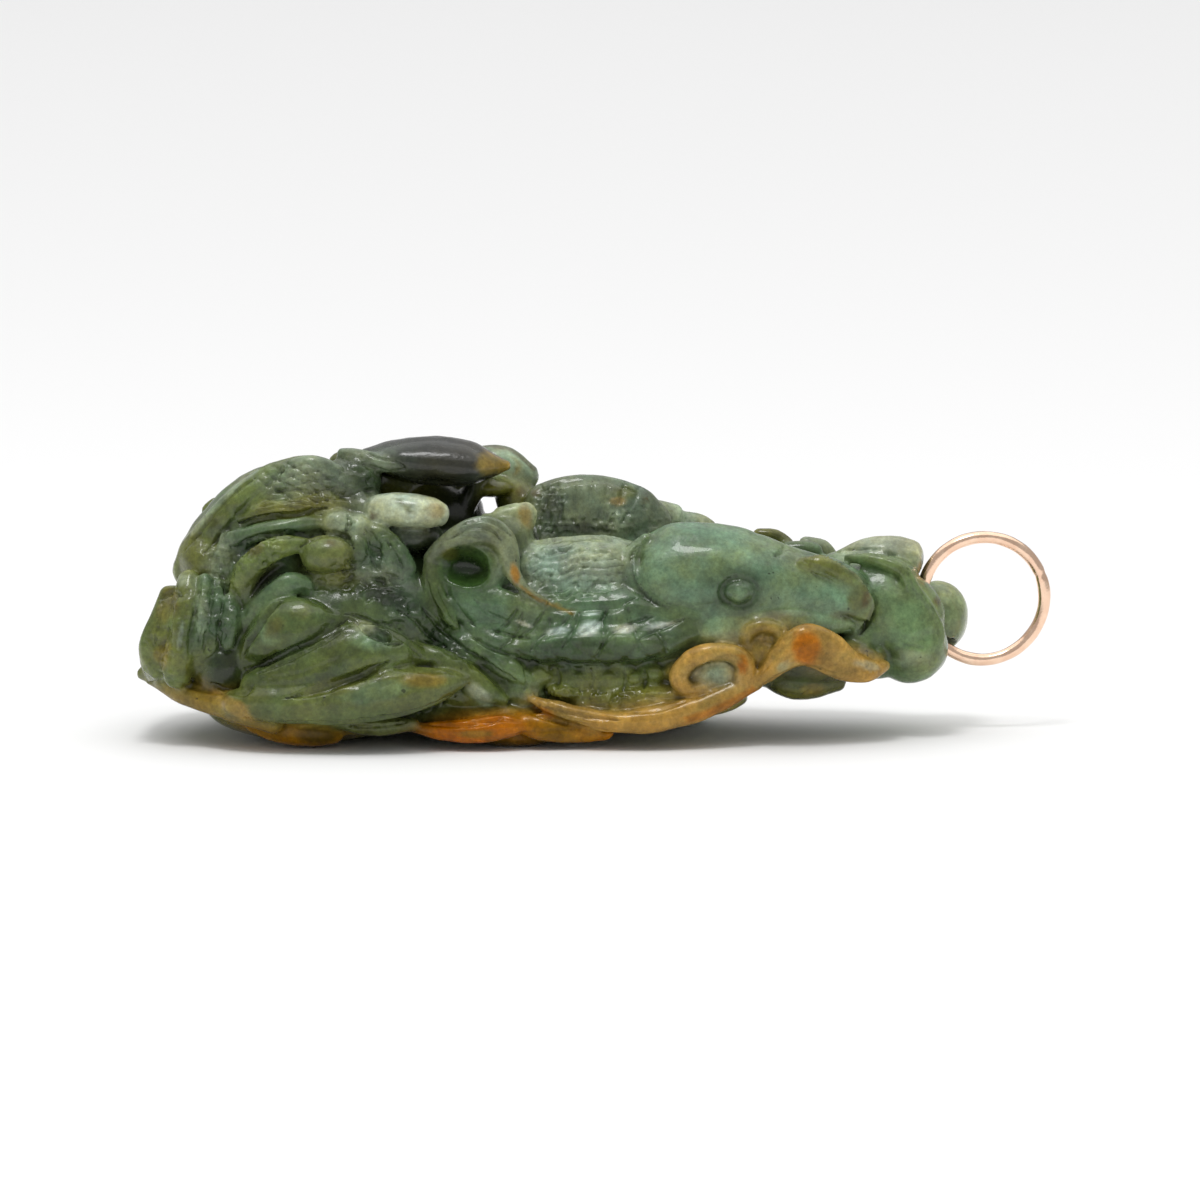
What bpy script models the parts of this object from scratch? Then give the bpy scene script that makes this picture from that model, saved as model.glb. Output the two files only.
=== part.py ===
"""Jade carving: a pendant of one piece of jadeite, a carp among leaves and waves, with a gold ring.

It lies on its back. X runs along the carving towards the ring, Y across it, away from the
side that carries the amber ribbon, and Z up. The origin is on the surface that it lies on.
"""

import math

import bmesh
import bpy
from mathutils import Matrix, Vector

# Driving sizes, in metres.
CARVING_LENGTH = 0.0713
RING_OUTER_DIAMETER = 0.0118
RING_WIRE = 0.0011
RING_CLEARANCE = 0.0005

# The carving is a free form. Its places and widths are shares of its length, of which it has this many.
SHARES = 71.3
UNIT = CARVING_LENGTH / SHARES

# The side view that the heights are taken in looks down by this angle, level with the near feet.
SIGHT_TILT = 8
SIGHT_SLOPE = math.tan(math.radians(SIGHT_TILT))
NEAR_FOOT_Y = -9
FRONT = (0, -1, 0)

# The eye's middle in the side view, and the steps of the sunk ring round it.
EYE_X = 12.2
EYE_H = 13.3
EYE_RING_STEPS = 14

# Where the ring's wire runs through the end lobe, in shares, and the ring's turn in the plan, in degrees.
RING_HOLE = (28.08, 0.24, 12.75)
RING_TURN = 6
RING_FACETS = 40
WIRE_FACETS = 10

# How finely the forms are melted together, in shares, and the triangles of the finished skin.
CLAY_GRAIN = 0.45
SOFTENING = 2
TRIANGLES = 8400

# A rounded end: how far out each section lies and how wide it is, as shares of the half width.
CAP = ((0.95, 0.3), (0.8, 0.6), (0.45, 0.9))

clay = []
cuts = []


def clear_scene():
    """Removes whatever the scene holds."""
    for obj in list(bpy.data.objects):
        bpy.data.objects.remove(obj, do_unlink=True)


def seen(x, y, h):
    """The point at x, y that a side view from 8 degrees above shows at height h over the near feet."""
    return Vector((x, y, h - (y - NEAR_FOOT_Y) * SIGHT_SLOPE)) * UNIT


def keep(bm, group):
    """Keeps a closed lump of the carving for the join, or for the cut."""
    mesh = bpy.data.meshes.new("lump")
    bm.to_mesh(mesh)
    bm.free()
    group.append(mesh)
    return mesh


def blob(x, y, h, rx, ry, rz, roll=0, yaw=0, pitch=0, group=None):
    """An ellipsoid. roll turns it in the side view, raising its +X end, yaw turns it in the plan."""
    bm = bmesh.new()
    bmesh.ops.create_uvsphere(bm, u_segments=28, v_segments=16, radius=1)
    turn = (
        Matrix.Rotation(math.radians(yaw), 4, "Z")
        @ Matrix.Rotation(math.radians(-roll), 4, "Y")
        @ Matrix.Rotation(math.radians(pitch), 4, "X")
    )
    size = Matrix.Diagonal((rx * UNIT, ry * UNIT, rz * UNIT, 1))
    bmesh.ops.transform(bm, matrix=Matrix.Translation(seen(x, y, h)) @ turn @ size, verts=bm.verts)
    return keep(bm, clay if group is None else group)


def smooth_line(points, steps):
    """Points on a Catmull-Rom curve through the given points, each a list of numbers."""
    ends = [[2 * a - b for a, b in zip(points[0], points[1])]]
    tail = [[2 * a - b for a, b in zip(points[-1], points[-2])]]
    full = ends + [list(p) for p in points] + tail
    line = []
    for i in range(1, len(full) - 2):
        for s in range(steps):
            t = s / steps
            line.append(
                [
                    0.5
                    * (
                        2 * b
                        + (c - a) * t
                        + (2 * a - 5 * b + 4 * c - d) * t * t
                        + (3 * b - a - 3 * c + d) * t * t * t
                    )
                    for a, b, c, d in zip(full[i - 1], full[i], full[i + 1], full[i + 2])
                ]
            )
    line.append(full[-2])
    return line


def sweep(*stations, thick=None, flat=1, face=FRONT, cap=1, group=None, sides=20, steps=4):
    """A lump that follows stations of (x, y, h, half width), with rounded ends.

    Its section is an ellipse whose flat side looks along face. Its half thickness is flat
    times the half width, and never more than thick. cap shortens the rounded ends.
    """
    line = smooth_line(stations, steps)
    places = [seen(*p[:3]) for p in line]
    widths = [p[3] * UNIT for p in line]
    rings = []
    for i, (place, width) in enumerate(zip(places, widths)):
        along = (places[min(i + 1, len(places) - 1)] - places[max(i - 1, 0)]).normalized()
        if i == 0:
            rings += [(place - along * width * a * cap, along, width * b) for a, b in CAP]
        rings.append((place, along, width))
        if i == len(places) - 1:
            rings += [(place + along * width * a * cap, along, width * b) for a, b in reversed(CAP)]
    bm = bmesh.new()
    loops = []
    for place, along, width in rings:
        side = along.cross(Vector(face)).normalized()
        out = side.cross(along).normalized()
        deep = width * flat
        if thick is not None:
            deep = min(deep, thick * UNIT)
        loops.append(
            [
                bm.verts.new(place + side * width * math.cos(a) + out * deep * math.sin(a))
                for a in (math.tau * k / sides for k in range(sides))
            ]
        )
    for one, two in zip(loops, loops[1:]):
        for k in range(sides):
            n = (k + 1) % sides
            bm.faces.new((one[k], one[n], two[n], two[k]))
    bm.faces.new(reversed(loops[0]))
    bm.faces.new(loops[-1])
    bmesh.ops.recalc_face_normals(bm, faces=bm.faces)
    return keep(bm, clay if group is None else group)


def joined(name, meshes):
    """One object that holds all the lumps, still overlapping."""
    bm = bmesh.new()
    for mesh in meshes:
        bm.from_mesh(mesh)
    whole = bpy.data.meshes.new(name)
    bm.to_mesh(whole)
    bm.free()
    obj = bpy.data.objects.new(name, whole)
    bpy.context.scene.collection.objects.link(obj)
    return obj


def settled(obj):
    """The same object with its modifiers applied."""
    graph = bpy.context.evaluated_depsgraph_get()
    mesh = bpy.data.meshes.new_from_object(obj.evaluated_get(graph))
    obj.modifiers.clear()
    obj.data = mesh
    return obj


def fuse(obj, smooth):
    """Melts the overlapping lumps into one skin and rounds it a little."""
    remesh = obj.modifiers.new("Fuse", "REMESH")
    remesh.mode = "VOXEL"
    remesh.voxel_size = CLAY_GRAIN * UNIT
    if smooth:
        soften = obj.modifiers.new("Soften", "SMOOTH")
        soften.factor = 0.5
        soften.iterations = round(smooth)
    return settled(obj)


def outer_skin(obj):
    """Fills the hollows that the melting sealed in, by keeping the largest skin only."""
    bm = bmesh.new()
    bm.from_mesh(obj.data)
    left = set(bm.verts)
    skins = []
    while left:
        reach = [left.pop()]
        skin = []
        while reach:
            vert = reach.pop()
            skin.append(vert)
            for edge in vert.link_edges:
                other = edge.other_vert(vert)
                if other in left:
                    left.remove(other)
                    reach.append(other)
        skins.append(skin)
    skins.sort(key=len)
    bmesh.ops.delete(bm, geom=[vert for skin in skins[:-1] for vert in skin], context="VERTS")
    bm.to_mesh(obj.data)
    bm.free()


def core():
    """The stone that carries everything, inside."""
    blob(-22, 1, 11, 13.5, 12.5, 8.2, roll=8)
    blob(-27, 1, 9.5, 9.5, 12, 6.5)
    blob(-4, 2, 10, 16, 9, 6.2)
    blob(16, 2, 11.5, 12, 6.5, 4.6)
    blob(-14, 3, 15, 9, 8, 5.5)
    blob(-15.5, 3.5, 20.0, 6.0, 6.0, 4.2)
    blob(-11, -4, 5.6, 6.5, 5.6, 3.4)
    blob(14, -3.6, 8.2, 6.0, 4.6, 3.0)


def fish_head():
    """Head in profile, snout to the ring: skull cap, cheek, gill plate, ridged lip and jaw."""
    sweep(
        (5.2, -4.2, 14.3, 4.4), (7, -4.4, 14.2, 4.95), (9.5, -4.6, 14.1, 5.05), (12, -4.6, 13.9, 4.85),
        (14, -4.5, 13.8, 4.4), (16, -4.4, 13.5, 3.9), (18, -4.4, 13.2, 3.6), (20, -4.4, 12.9, 3.3),
        (21.5, -4.4, 12.5, 2.9), (22.6, -4.4, 12.1, 2.2), (23.1, -4.4, 11.9, 1.6),
        cap=0.45, thick=4.6,
    )
    sweep(
        (5.0, -4.4, 16.2, 2.3), (7.0, -4.8, 16.4, 2.9), (10, -4.9, 16.4, 2.85), (13, -4.7, 16.2, 2.5),
        (15.2, -4.4, 16.3, 1.4), cap=0.6, thick=4.6,
    )
    sweep(
        (4.4, -5.6, 17.6, 0.8), (3.0, -6.0, 16.4, 0.85), (3.2, -6.8, 15.0, 1.0), (4.6, -7.6, 13.6, 1.2),
        (6.5, -8.0, 12.6, 1.2), thick=0.9,
    )
    sweep(
        (17.6, -6.8, 15.8, 0.5), (20.0, -6.6, 15.1, 0.7), (21.9, -6.2, 13.8, 0.75),
        (22.8, -5.8, 12.5, 0.65), (22.3, -5.9, 11.2, 0.6), thick=0.8,
    )
    sweep((14, -8.0, 10.6, 1.5), (18, -7.2, 10.6, 1.4), (21.6, -5.8, 10.8, 0.9), thick=1.2)
    blob(11.5, -6.6, 10.2, 5.0, 2.6, 2.4)


def eyes():
    """A bead in a sunk ring, on either side of the head."""
    for y, out in ((-9.3, -1), (0.5, 1)):
        for k in range(EYE_RING_STEPS):
            turn = math.tau * k / EYE_RING_STEPS
            blob(
                EYE_X + 1.5 * math.cos(turn), y, EYE_H + 1.25 * math.sin(turn), 0.44, 0.6, 0.44,
                group=cuts,
            )
        blob(EYE_X, y - 0.2 * out, EYE_H, 0.85, 0.55, 0.8)


def fish_body():
    """Scaled flank, ribbed back, and the high fin that fans over it."""
    sweep(
        (9, -4.6, 11.6, 4.2), (5, -5.0, 10.6, 4.6), (0, -5.2, 10.0, 4.7), (-4.5, -4.9, 10.4, 4.5),
        (-8.5, -4.6, 11.4, 3.9), (-11.4, -4.4, 12.8, 3.0), thick=4.7, cap=0.5,
    )
    sweep(
        (8, -8.4, 9.8, 0.9), (4, -9.0, 9.0, 1.5), (-1, -9.0, 8.6, 1.7), (-5.5, -8.6, 9.0, 1.6),
        (-9.5, -7.8, 10.2, 1.2), thick=1.1,
    )
    sweep(
        (-5.4, -3.8, 14.7, 3.1), (-2.5, -4.2, 14.9, 3.3), (0.5, -4.2, 14.9, 3.3), (3, -4.0, 14.8, 3.0),
        thick=3.3, cap=0.4,
    )
    sweep(
        (-4.6, 0.6, 18.2, 4.0), (-3.4, 0.6, 18.6, 4.5), (-1.6, 0.6, 18.8, 4.75), (0.4, 0.6, 18.6, 4.8),
        (2.5, 0.8, 18.2, 4.6), (4.0, 1.2, 17.8, 4.1), (5.2, 1.8, 17.6, 3.4), cap=0.2, thick=2.2,
    )
    blob(-0.5, 5.4, 18.4, 5.6, 5.0, 4.2)
    blob(-4.6, 1.6, 17.6, 2.6, 4.0, 3.2)
    sweep(
        (3.2, 2.2, 19.8, 1.8), (5.2, 2.6, 19.8, 1.65), (6.9, 3.0, 19.7, 1.35), cap=0.5, thick=1.6,
    )
    sweep(
        (6.9, 3.2, 19.2, 1.3), (8.8, 3.6, 19.0, 1.2), (10.0, 3.8, 18.7, 0.9), cap=0.4, thick=1.6,
    )
    blob(8.0, 3.0, 17.0, 3.4, 3.0, 2.4)


def tail_curl():
    """The tail fin, rolled over like a shell, with its hollow to the front."""
    blob(-10.6, -5.6, 15.4, 3.8, 3.4, 4.0, roll=-20)
    sweep(
        (-14.0, -7.4, 16.2, 0.7), (-12.9, -7.8, 17.3, 0.9), (-11.2, -7.9, 18.2, 1.15),
        (-9.4, -7.8, 18.6, 1.3), (-8.0, -7.6, 17.8, 1.25), (-7.4, -7.8, 16.3, 1.0),
        (-7.0, -8.2, 14.9, 0.7), (-5.9, -8.7, 13.5, 0.45), (-4.2, -9.0, 12.4, 0.3), thick=1.2,
    )
    sweep(
        (-14.0, -7.2, 16.4, 0.6), (-14.0, -7.8, 14.6, 0.75), (-13.4, -8.4, 12.8, 0.7),
        (-12.5, -8.8, 11.3, 0.55), (-11.9, -8.8, 10.4, 0.3), thick=0.9,
    )
    sweep(
        (-15.1, -6.4, 15.0, 0.35), (-14.9, -6.9, 13.4, 0.45), (-13.9, -7.6, 11.6, 0.5),
        (-12.6, -8.0, 10.2, 0.3),
        thick=0.7,
    )
    sweep(
        (-11.0, -8.0, 12.3, 1.6), (-8.2, -8.2, 12.0, 1.7), (-5.0, -8.4, 11.4, 1.2), thick=0.9,
    )
    sweep(
        (-9.6, -3.5, 19.6, 0.5), (-8.0, -3.5, 19.9, 0.85), (-6.6, -3.5, 20.3, 0.8), thick=0.8,
        cap=0.6,
    )
    blob(-6.5, -3.2, 19.3, 1.3, 1.2, 2.0, roll=-30)
    blob(-7.6, -3.0, 17.8, 2.4, 3.4, 2.4)
    blob(-11.3, -9.6, 15.5, 2.7, 2.2, 1.8, roll=10, group=cuts)
    blob(-11.0, -9.4, 15.2, 2.2, 2.5, 1.6, roll=-10, group=cuts)


def strands():
    """Long strands that run down from the curl between the leaves and the flank."""
    blob(-11.0, -5.4, 8.4, 4.4, 4.0, 3.0, roll=-38)
    sweep(
        (-11.4, -8.2, 9.6, 0.5), (-9.6, -8.8, 8.4, 0.9), (-7.6, -9.2, 7.0, 1.0), (-5.8, -9.2, 5.8, 0.6),
        (-4.8, -9.0, 5.2, 0.3), thick=0.8,
    )
    sweep(
        (-11.0, -8.0, 10.6, 0.4), (-9.0, -8.8, 9.4, 0.6), (-6.6, -9.3, 8.4, 0.6), (-4.2, -9.4, 7.6, 0.4),
        thick=0.7,
    )
    sweep(
        (-14.6, -7.6, 10.0, 0.4), (-12.2, -8.0, 8.4, 0.55), (-9.8, -8.6, 6.6, 0.6), (-7.8, -9.0, 5.2, 0.4),
        thick=0.7,
    )
    sweep(
        (-15.6, -9.8, 8.6, 0.6), (-13.4, -10.0, 7.6, 1.0), (-11.2, -10.0, 6.2, 1.2), (-9.4, -9.8, 4.9, 1.0),
        (-7.8, -9.6, 4.1, 0.4), thick=1.0,
    )
    blob(-11.0, -6.4, 4.8, 4.6, 3.6, 2.0, roll=-10)
    blob(-6.0, -6.4, 7.2, 2.2, 2.6, 1.8)
    blob(-6.2, -7.8, 4.8, 2.2, 1.9, 1.5, roll=-20)


def dark_leaf():
    """The dark polished leaf on top, its stalk, and the pale lobe behind its tip."""
    sweep(
        (-19.6, -1.5, 25.1, 0.7), (-17.5, -1.8, 25.0, 1.5), (-14, -2.0, 24.7, 2.1), (-11, -2.0, 24.5, 1.9),
        (-9, -2.0, 24.3, 1.2), (-7.7, -2.0, 24.3, 0.45), flat=2.0, thick=3.4,
    )
    sweep(
        (-21.8, -3.2, 25.3, 0.55), (-20.4, -3.8, 25.0, 0.75), (-18.4, -4.4, 24.5, 0.8),
        (-16.7, -4.6, 24.1, 0.45), thick=0.8, cap=0.6,
    )
    sweep(
        (-21.6, -0.4, 24.2, 1.5), (-18.5, -0.6, 23.2, 1.7), (-15, 0.6, 22.6, 1.2), thick=2.8
    )
    sweep((-10.0, 0.5, 23.4, 1.1), (-10.9, 0.5, 21.4, 0.9), (-12.0, 0.5, 19.6, 1.2))
    sweep((-10.4, 3.4, 24.9, 1.2), (-8.0, 3.6, 24.4, 1.7), (-6.4, 3.6, 23.4, 1.5), thick=1.6)
    sweep((-7.5, 3.2, 23.0, 1.5), (-6.7, 2.8, 21.2, 1.9), (-5.6, 2.6, 19.2, 2.2))
    blob(-7.4, 0.5, 17.6, 2.6, 5.0, 2.4)
    sweep(
        (-18.7, -6.4, 20.4, 1.35), (-16.5, -6.8, 20.4, 1.5), (-14.2, -6.8, 20.2, 1.4),
        (-13.2, -6.6, 20.0, 1.1), flat=1.1, cap=0.7,
    )
    blob(-16, -4.6, 18.2, 3.2, 2.6, 1.4)


def end_lobes():
    """The wrapped leaf at the ring end, and the round lobe that the ring goes through."""
    sweep(
        (22.8, -1.4, 14.0, 2.9), (24.4, -1.8, 12.7, 3.7), (25.9, -2.0, 10.8, 4.2), (26.6, -2.0, 9.4, 3.8),
        cap=0.5, thick=4.0,
    )
    blob(27.0, -2.2, 8.8, 3.3, 3.6, 3.3)
    blob(24.2, -2.0, 8.6, 3.2, 3.4, 2.7)
    sweep(
        (21.4, 0.4, 15.4, 1.7), (23.4, 0.6, 16.1, 1.95), (25.6, 0.6, 16.2, 2.05), (27.4, 0.4, 16.1, 1.75),
        cap=0.5, thick=3.8,
    )
    blob(25.2, -1.4, 14.6, 2.6, 3.0, 1.9)
    blob(22.8, -4.2, 9.6, 2.4, 2.2, 1.9)
    sweep(
        (21.6, -3.0, 16.3, 0.4), (24.0, -3.9, 16.1, 0.6), (26.2, -4.4, 15.2, 0.7), (27.1, -4.7, 13.7, 0.65),
        (28.3, -4.6, 12.0, 0.65), (29.3, -4.2, 10.0, 0.6), (29.2, -3.8, 8.2, 0.5), thick=0.8,
    )
    blob(29.6, 2.6, 11.2, 2.6, 3.4, 3.1)
    blob(27.2, 2.8, 11.2, 3.4, 3.0, 3.4)
    blob(21.5, 0.5, 13.8, 3.6, 4.6, 3.2)


def waves_behind_snout():
    """Small scrolls on the far side of the snout, that show over it."""
    sweep((14.1, 2.6, 18.4, 0.55), (15.6, 2.6, 18.2, 0.6), (16.6, 2.6, 17.5, 0.6), thick=1.2)
    sweep((16.6, 1.6, 17.0, 0.8), (18.2, 1.6, 17.1, 0.8), (18.9, 1.6, 16.9, 0.75), thick=1.4)
    sweep((18.2, 5.2, 17.6, 0.7), (19.6, 5.2, 17.2, 0.8), (20.4, 5.0, 16.2, 0.8), thick=1.3)
    blob(15, 3.6, 15.6, 4.0, 3.6, 1.8)


def amber_ribbon():
    """The ribbon and curls along the near lower edge."""
    sweep(
        (12.6, -8.8, 5.6, 0.7), (14.4, -9.2, 6.2, 0.75), (16.0, -9.6, 7.8, 1.3), (17.8, -9.6, 8.8, 1.8),
        (19.5, -9.0, 8.3, 1.8), (21.2, -8.2, 7.2, 1.5), (23.2, -7.2, 6.6, 1.0), (24.7, -6.4, 7.0, 0.5),
        thick=1.0,
    )
    sweep(
        (9.2, -9.6, 5.2, 0.5), (7.9, -9.8, 4.9, 0.75), (7.05, -9.8, 6.0, 0.85), (7.8, -9.8, 7.3, 0.85),
        (9.4, -9.8, 8.1, 0.8), (11.3, -9.7, 8.2, 0.8), (12.6, -9.5, 7.3, 0.85), (12.6, -9.4, 6.2, 0.8),
        (12.1, -9.3, 5.2, 0.6), thick=0.85,
    )
    sweep(
        (12.8, -8.8, 9.0, 0.5), (13.0, -9.0, 10.0, 0.6), (14.2, -9.1, 10.5, 0.6), (15.6, -8.9, 10.1, 0.6),
        (15.9, -8.6, 8.8, 0.7), (15.2, -8.6, 7.4, 0.6), thick=0.8,
    )
    sweep(
        (-5.4, -9.8, 4.1, 0.3), (-3.6, -10.3, 3.4, 0.7), (-1.0, -10.6, 2.6, 0.9),
        (2.0, -10.7, 2.2, 0.95), (5.0, -10.6, 2.4, 1.1),
        (8.5, -10.0, 3.3, 1.15), (11.5, -9.4, 4.6, 1.0), (13.5, -8.8, 5.6, 0.8), thick=1.2,
    )
    blob(9.9, -8.0, 6.3, 3.4, 1.8, 2.3)
    blob(14.1, -7.2, 8.4, 2.6, 2.0, 2.2)
    blob(4.0, -6.8, 4.2, 9.0, 3.6, 2.0)
    blob(7.2, -6.6, 6.6, 3.0, 2.6, 2.0)
    sweep(
        (14.6, -4.0, 5.9, 0.7), (17.4, -4.6, 5.4, 1.35), (20.6, -4.0, 5.6, 0.8), flat=1.8
    )
    blob(18, -3, 7.8, 5.4, 5.0, 2.6)
    blob(21.4, -4.6, 7.8, 3.6, 3.2, 2.0)


def beads():
    """Foam beads in the recess below the flank."""
    for x, h, r in (
        (-4.5, 6.2, 0.8), (-2.0, 5.9, 0.9), (1.3, 5.8, 1.0), (3.3, 6.0, 0.6), (4.9, 6.3, 0.75),
        (6.6, 6.5, 0.6),
    ):
        blob(x, -9.2, h, r, 0.7, r)
    blob(0.4, -6.4, 6.2, 8.0, 3.0, 2.6)
    blob(1.7, -9.2, 4.0, 0.9, 1.6, 0.8)
    blob(-2.6, -8.8, 4.8, 1.6, 1.2, 0.7, roll=-14)


def lower_petals():
    """Amber petals and feet under the near edge."""
    sweep(
        (-15.6, -10.2, 1.7, 0.4), (-13.0, -10.8, 1.5, 0.9), (-9.8, -11.0, 1.5, 1.1),
        (-7.4, -10.8, 1.8, 1.0), (-5.9, -10.4, 1.8, 0.6), thick=1.3,
    )
    sweep(
        (-6.4, -10.0, 2.2, 0.9), (-4.6, -10.2, 1.7, 1.15), (-1.6, -10.0, 1.2, 0.8), (0.6, -9.6, 1.1, 0.5),
        (1.2, -9.4, 1.2, 0.35), thick=1.2,
    )
    blob(-9, -5.5, 2.8, 8.5, 5.2, 2.1)
    blob(-6.9, -7.6, 1.1, 3.7, 2.4, 1.1)
    blob(6.5, 5.0, 3.4, 3.6, 3.2, 1.9)
    blob(-21, 8.0, 4.5, 4.6, 3.2, 2.5)
    blob(-15, 1, 5.2, 17, 10.5, 3.2)
    blob(3, 0, 5, 9, 8, 3.2)


def pointed_leaves():
    """The three long leaves of the near side, one over the other."""
    blob(-22.5, -6.2, 7.4, 8.0, 6.9, 4.9, roll=8)
    blob(-17.0, -5.6, 6.6, 6.0, 6.2, 3.6, roll=-8)
    sweep(
        (-30.5, -11.2, 3.8, 1.2), (-26, -12.4, 3.9, 1.8), (-21, -12.9, 4.2, 2.2), (-16.5, -12.5, 4.9, 2.15),
        (-13.2, -11.6, 5.4, 1.4), (-11.0, -10.9, 5.8, 0.5), thick=1.6, face=(0, -1, 0.25),
    )
    sweep(
        (-29.0, -10.8, 5.4, 1.2), (-25.5, -11.9, 6.4, 1.9), (-21.6, -12.2, 8.0, 2.5),
        (-18.4, -11.9, 8.4, 2.1), (-15.8, -11.0, 8.0, 1.1), (-14.4, -10.6, 7.6, 0.4), thick=1.5,
        face=(0, -1, 0.35),
    )
    sweep(
        (-29.6, -10.0, 8.0, 0.7), (-28.4, -10.6, 9.0, 1.6), (-26.6, -11.2, 10.2, 2.5),
        (-24.8, -11.2, 10.8, 2.2), (-22.8, -10.8, 10.9, 1.1), (-21.2, -10.6, 11.1, 0.35), thick=1.4,
        face=(0, -1, 0.35),
    )
    sweep(
        (-22.6, -9.6, 11.8, 0.3), (-20.6, -10.2, 11.9, 0.45), (-18.4, -10.2, 11.1, 0.5),
        (-16.4, -9.8, 10.5, 0.45), (-15.4, -9.4, 9.6, 0.35), thick=0.6,
    )
    sweep(
        (-24, -8.2, 13.0, 0.7), (-21, -8.4, 13.2, 0.9), (-18, -8.0, 12.4, 0.9), (-15.6, -7.4, 11.0, 0.8),
        thick=1.0,
    )
    blob(-19.5, -5.0, 12.4, 6.0, 4.0, 3.4, roll=-14)
    blob(-18.4, -12.6, 9.9, 1.35, 0.9, 0.75, roll=-30, group=cuts)


def left_block():
    """The bundle of stalks that closes the left end."""
    blob(-35.2, -1, 9.6, 3.0, 8.6, 4.2, roll=15)
    blob(-36.6, -2, 6.9, 2.3, 6.4, 1.8, roll=10)
    blob(-37.4, -4, 7.2, 1.5, 4.2, 1.8)
    blob(-33.6, -4.2, 9.9, 3.9, 6.3, 4.8, roll=8)
    sweep(
        (-35.6, -6.4, 6.6, 1.6), (-37.4, -5.8, 6.4, 1.2), (-38.7, -5.2, 6.3, 0.6), thick=2.2,
    )
    sweep(
        (-35.7, -7.0, 13.2, 1.4), (-36.1, -8.3, 10.8, 1.95), (-36.7, -8.3, 8.6, 2.2),
        (-37.0, -7.4, 7.0, 1.9), cap=0.4, thick=1.2,
    )
    sweep(
        (-34.6, -8.2, 14.3, 1.0), (-34.9, -9.6, 11.6, 1.3), (-35.2, -9.8, 8.8, 1.4),
        (-35.6, -9.0, 6.2, 1.2),
        thick=1.1,
    )
    sweep(
        (-33.2, -8.8, 14.4, 0.6), (-33.3, -9.8, 12.4, 0.7), (-33.6, -10.2, 10.2, 0.65),
        (-34.2, -10.2, 8.4, 0.3), thick=0.8,
    )
    sweep(
        (-32.1, -8.8, 13.9, 0.45), (-32.2, -9.8, 12.0, 0.55), (-32.4, -10.2, 10.2, 0.5), thick=0.8,
    )
    sweep((-31.0, -9.4, 12.6, 0.6), (-31.0, -10.2, 10.9, 0.8), (-31.2, -10.4, 9.0, 0.6))
    blob(-31.6, -6.0, 7.2, 3.2, 4.6, 3.4)
    blob(-31.0, -5.0, 11.0, 3.4, 5.2, 4.0)
    sweep(
        (-38.0, -5.8, 5.8, 0.5), (-35.6, -7.4, 4.9, 1.0), (-33.0, -9.2, 4.1, 1.15),
        (-30.2, -10.6, 3.3, 1.3), (-27.5, -11.0, 2.4, 1.2), thick=1.6,
    )
    sweep(
        (-29.0, -9.0, 2.2, 1.0), (-26.5, -9.8, 1.4, 1.1), (-24, -9.8, 1.2, 1.15), (-22.3, -9.6, 1.2, 0.9),
        thick=2.2,
    )
    sweep(
        (-22.0, -10.8, 2.2, 0.6), (-18.5, -11.2, 1.9, 0.9), (-15.5, -10.6, 2.0, 0.6), thick=1.4,
    )
    blob(-24, -4, 3.6, 9.5, 7.5, 3.0)


def buds():
    """The knot of buds and the stems that lead to it."""
    blob(-22.8, -9.1, 16.5, 2.3, 1.9, 1.75)
    blob(-22.6, -7.4, 15.4, 2.6, 2.6, 1.4)
    blob(-21.9, -7.5, 19.2, 1.45, 1.3, 1.3)
    blob(-20.3, -7.5, 18.8, 1.35, 1.3, 1.3)
    blob(-20.4, -8.2, 17.0, 1.1, 1.3, 1.5)
    sweep(
        (-19.6, -7.4, 19.0, 0.5), (-18.4, -7.8, 18.2, 1.0), (-17.2, -7.9, 16.8, 1.2),
        (-16.0, -7.6, 15.4, 0.8),
        thick=0.9,
    )
    sweep(
        (-20.2, -8.2, 14.6, 0.9), (-18.2, -8.2, 15.2, 1.0), (-16.8, -8.0, 14.4, 0.7), thick=0.9,
    )
    blob(-20.5, -5.4, 15.6, 4.6, 3.6, 3.6)
    sweep(
        (-30.8, -7.4, 17.9, 0.8), (-27.8, -8.2, 18.6, 0.8), (-25.2, -8.0, 19.2, 0.7),
        (-23.0, -7.4, 19.3, 0.5), thick=0.8,
    )
    sweep(
        (-30.3, -9.0, 13.6, 0.9), (-29.6, -9.4, 15.2, 1.05), (-28.0, -9.6, 16.7, 1.05),
        (-26.2, -9.4, 17.3, 0.9), (-24.6, -9.0, 17.4, 0.6), thick=1.0,
    )
    sweep(
        (-30.0, -9.2, 10.6, 0.9), (-28.2, -9.8, 12.4, 1.1), (-26.4, -9.9, 13.9, 1.1),
        (-25.0, -9.6, 14.0, 0.9), (-24.3, -9.4, 13.4, 0.6), thick=1.0,
    )
    blob(-28.4, -5.4, 14.0, 4.4, 4.6, 4.0, roll=30)
    blob(-24.6, -5.4, 13.4, 3.6, 4.0, 2.6)
    sweep(
        (-29.2, -10.6, 13.0, 0.35), (-28.2, -10.6, 14.2, 0.5), (-26.8, -10.6, 15.3, 0.6),
        (-25.4, -10.4, 15.8, 0.55), flat=3.2, group=cuts,
    )


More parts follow.
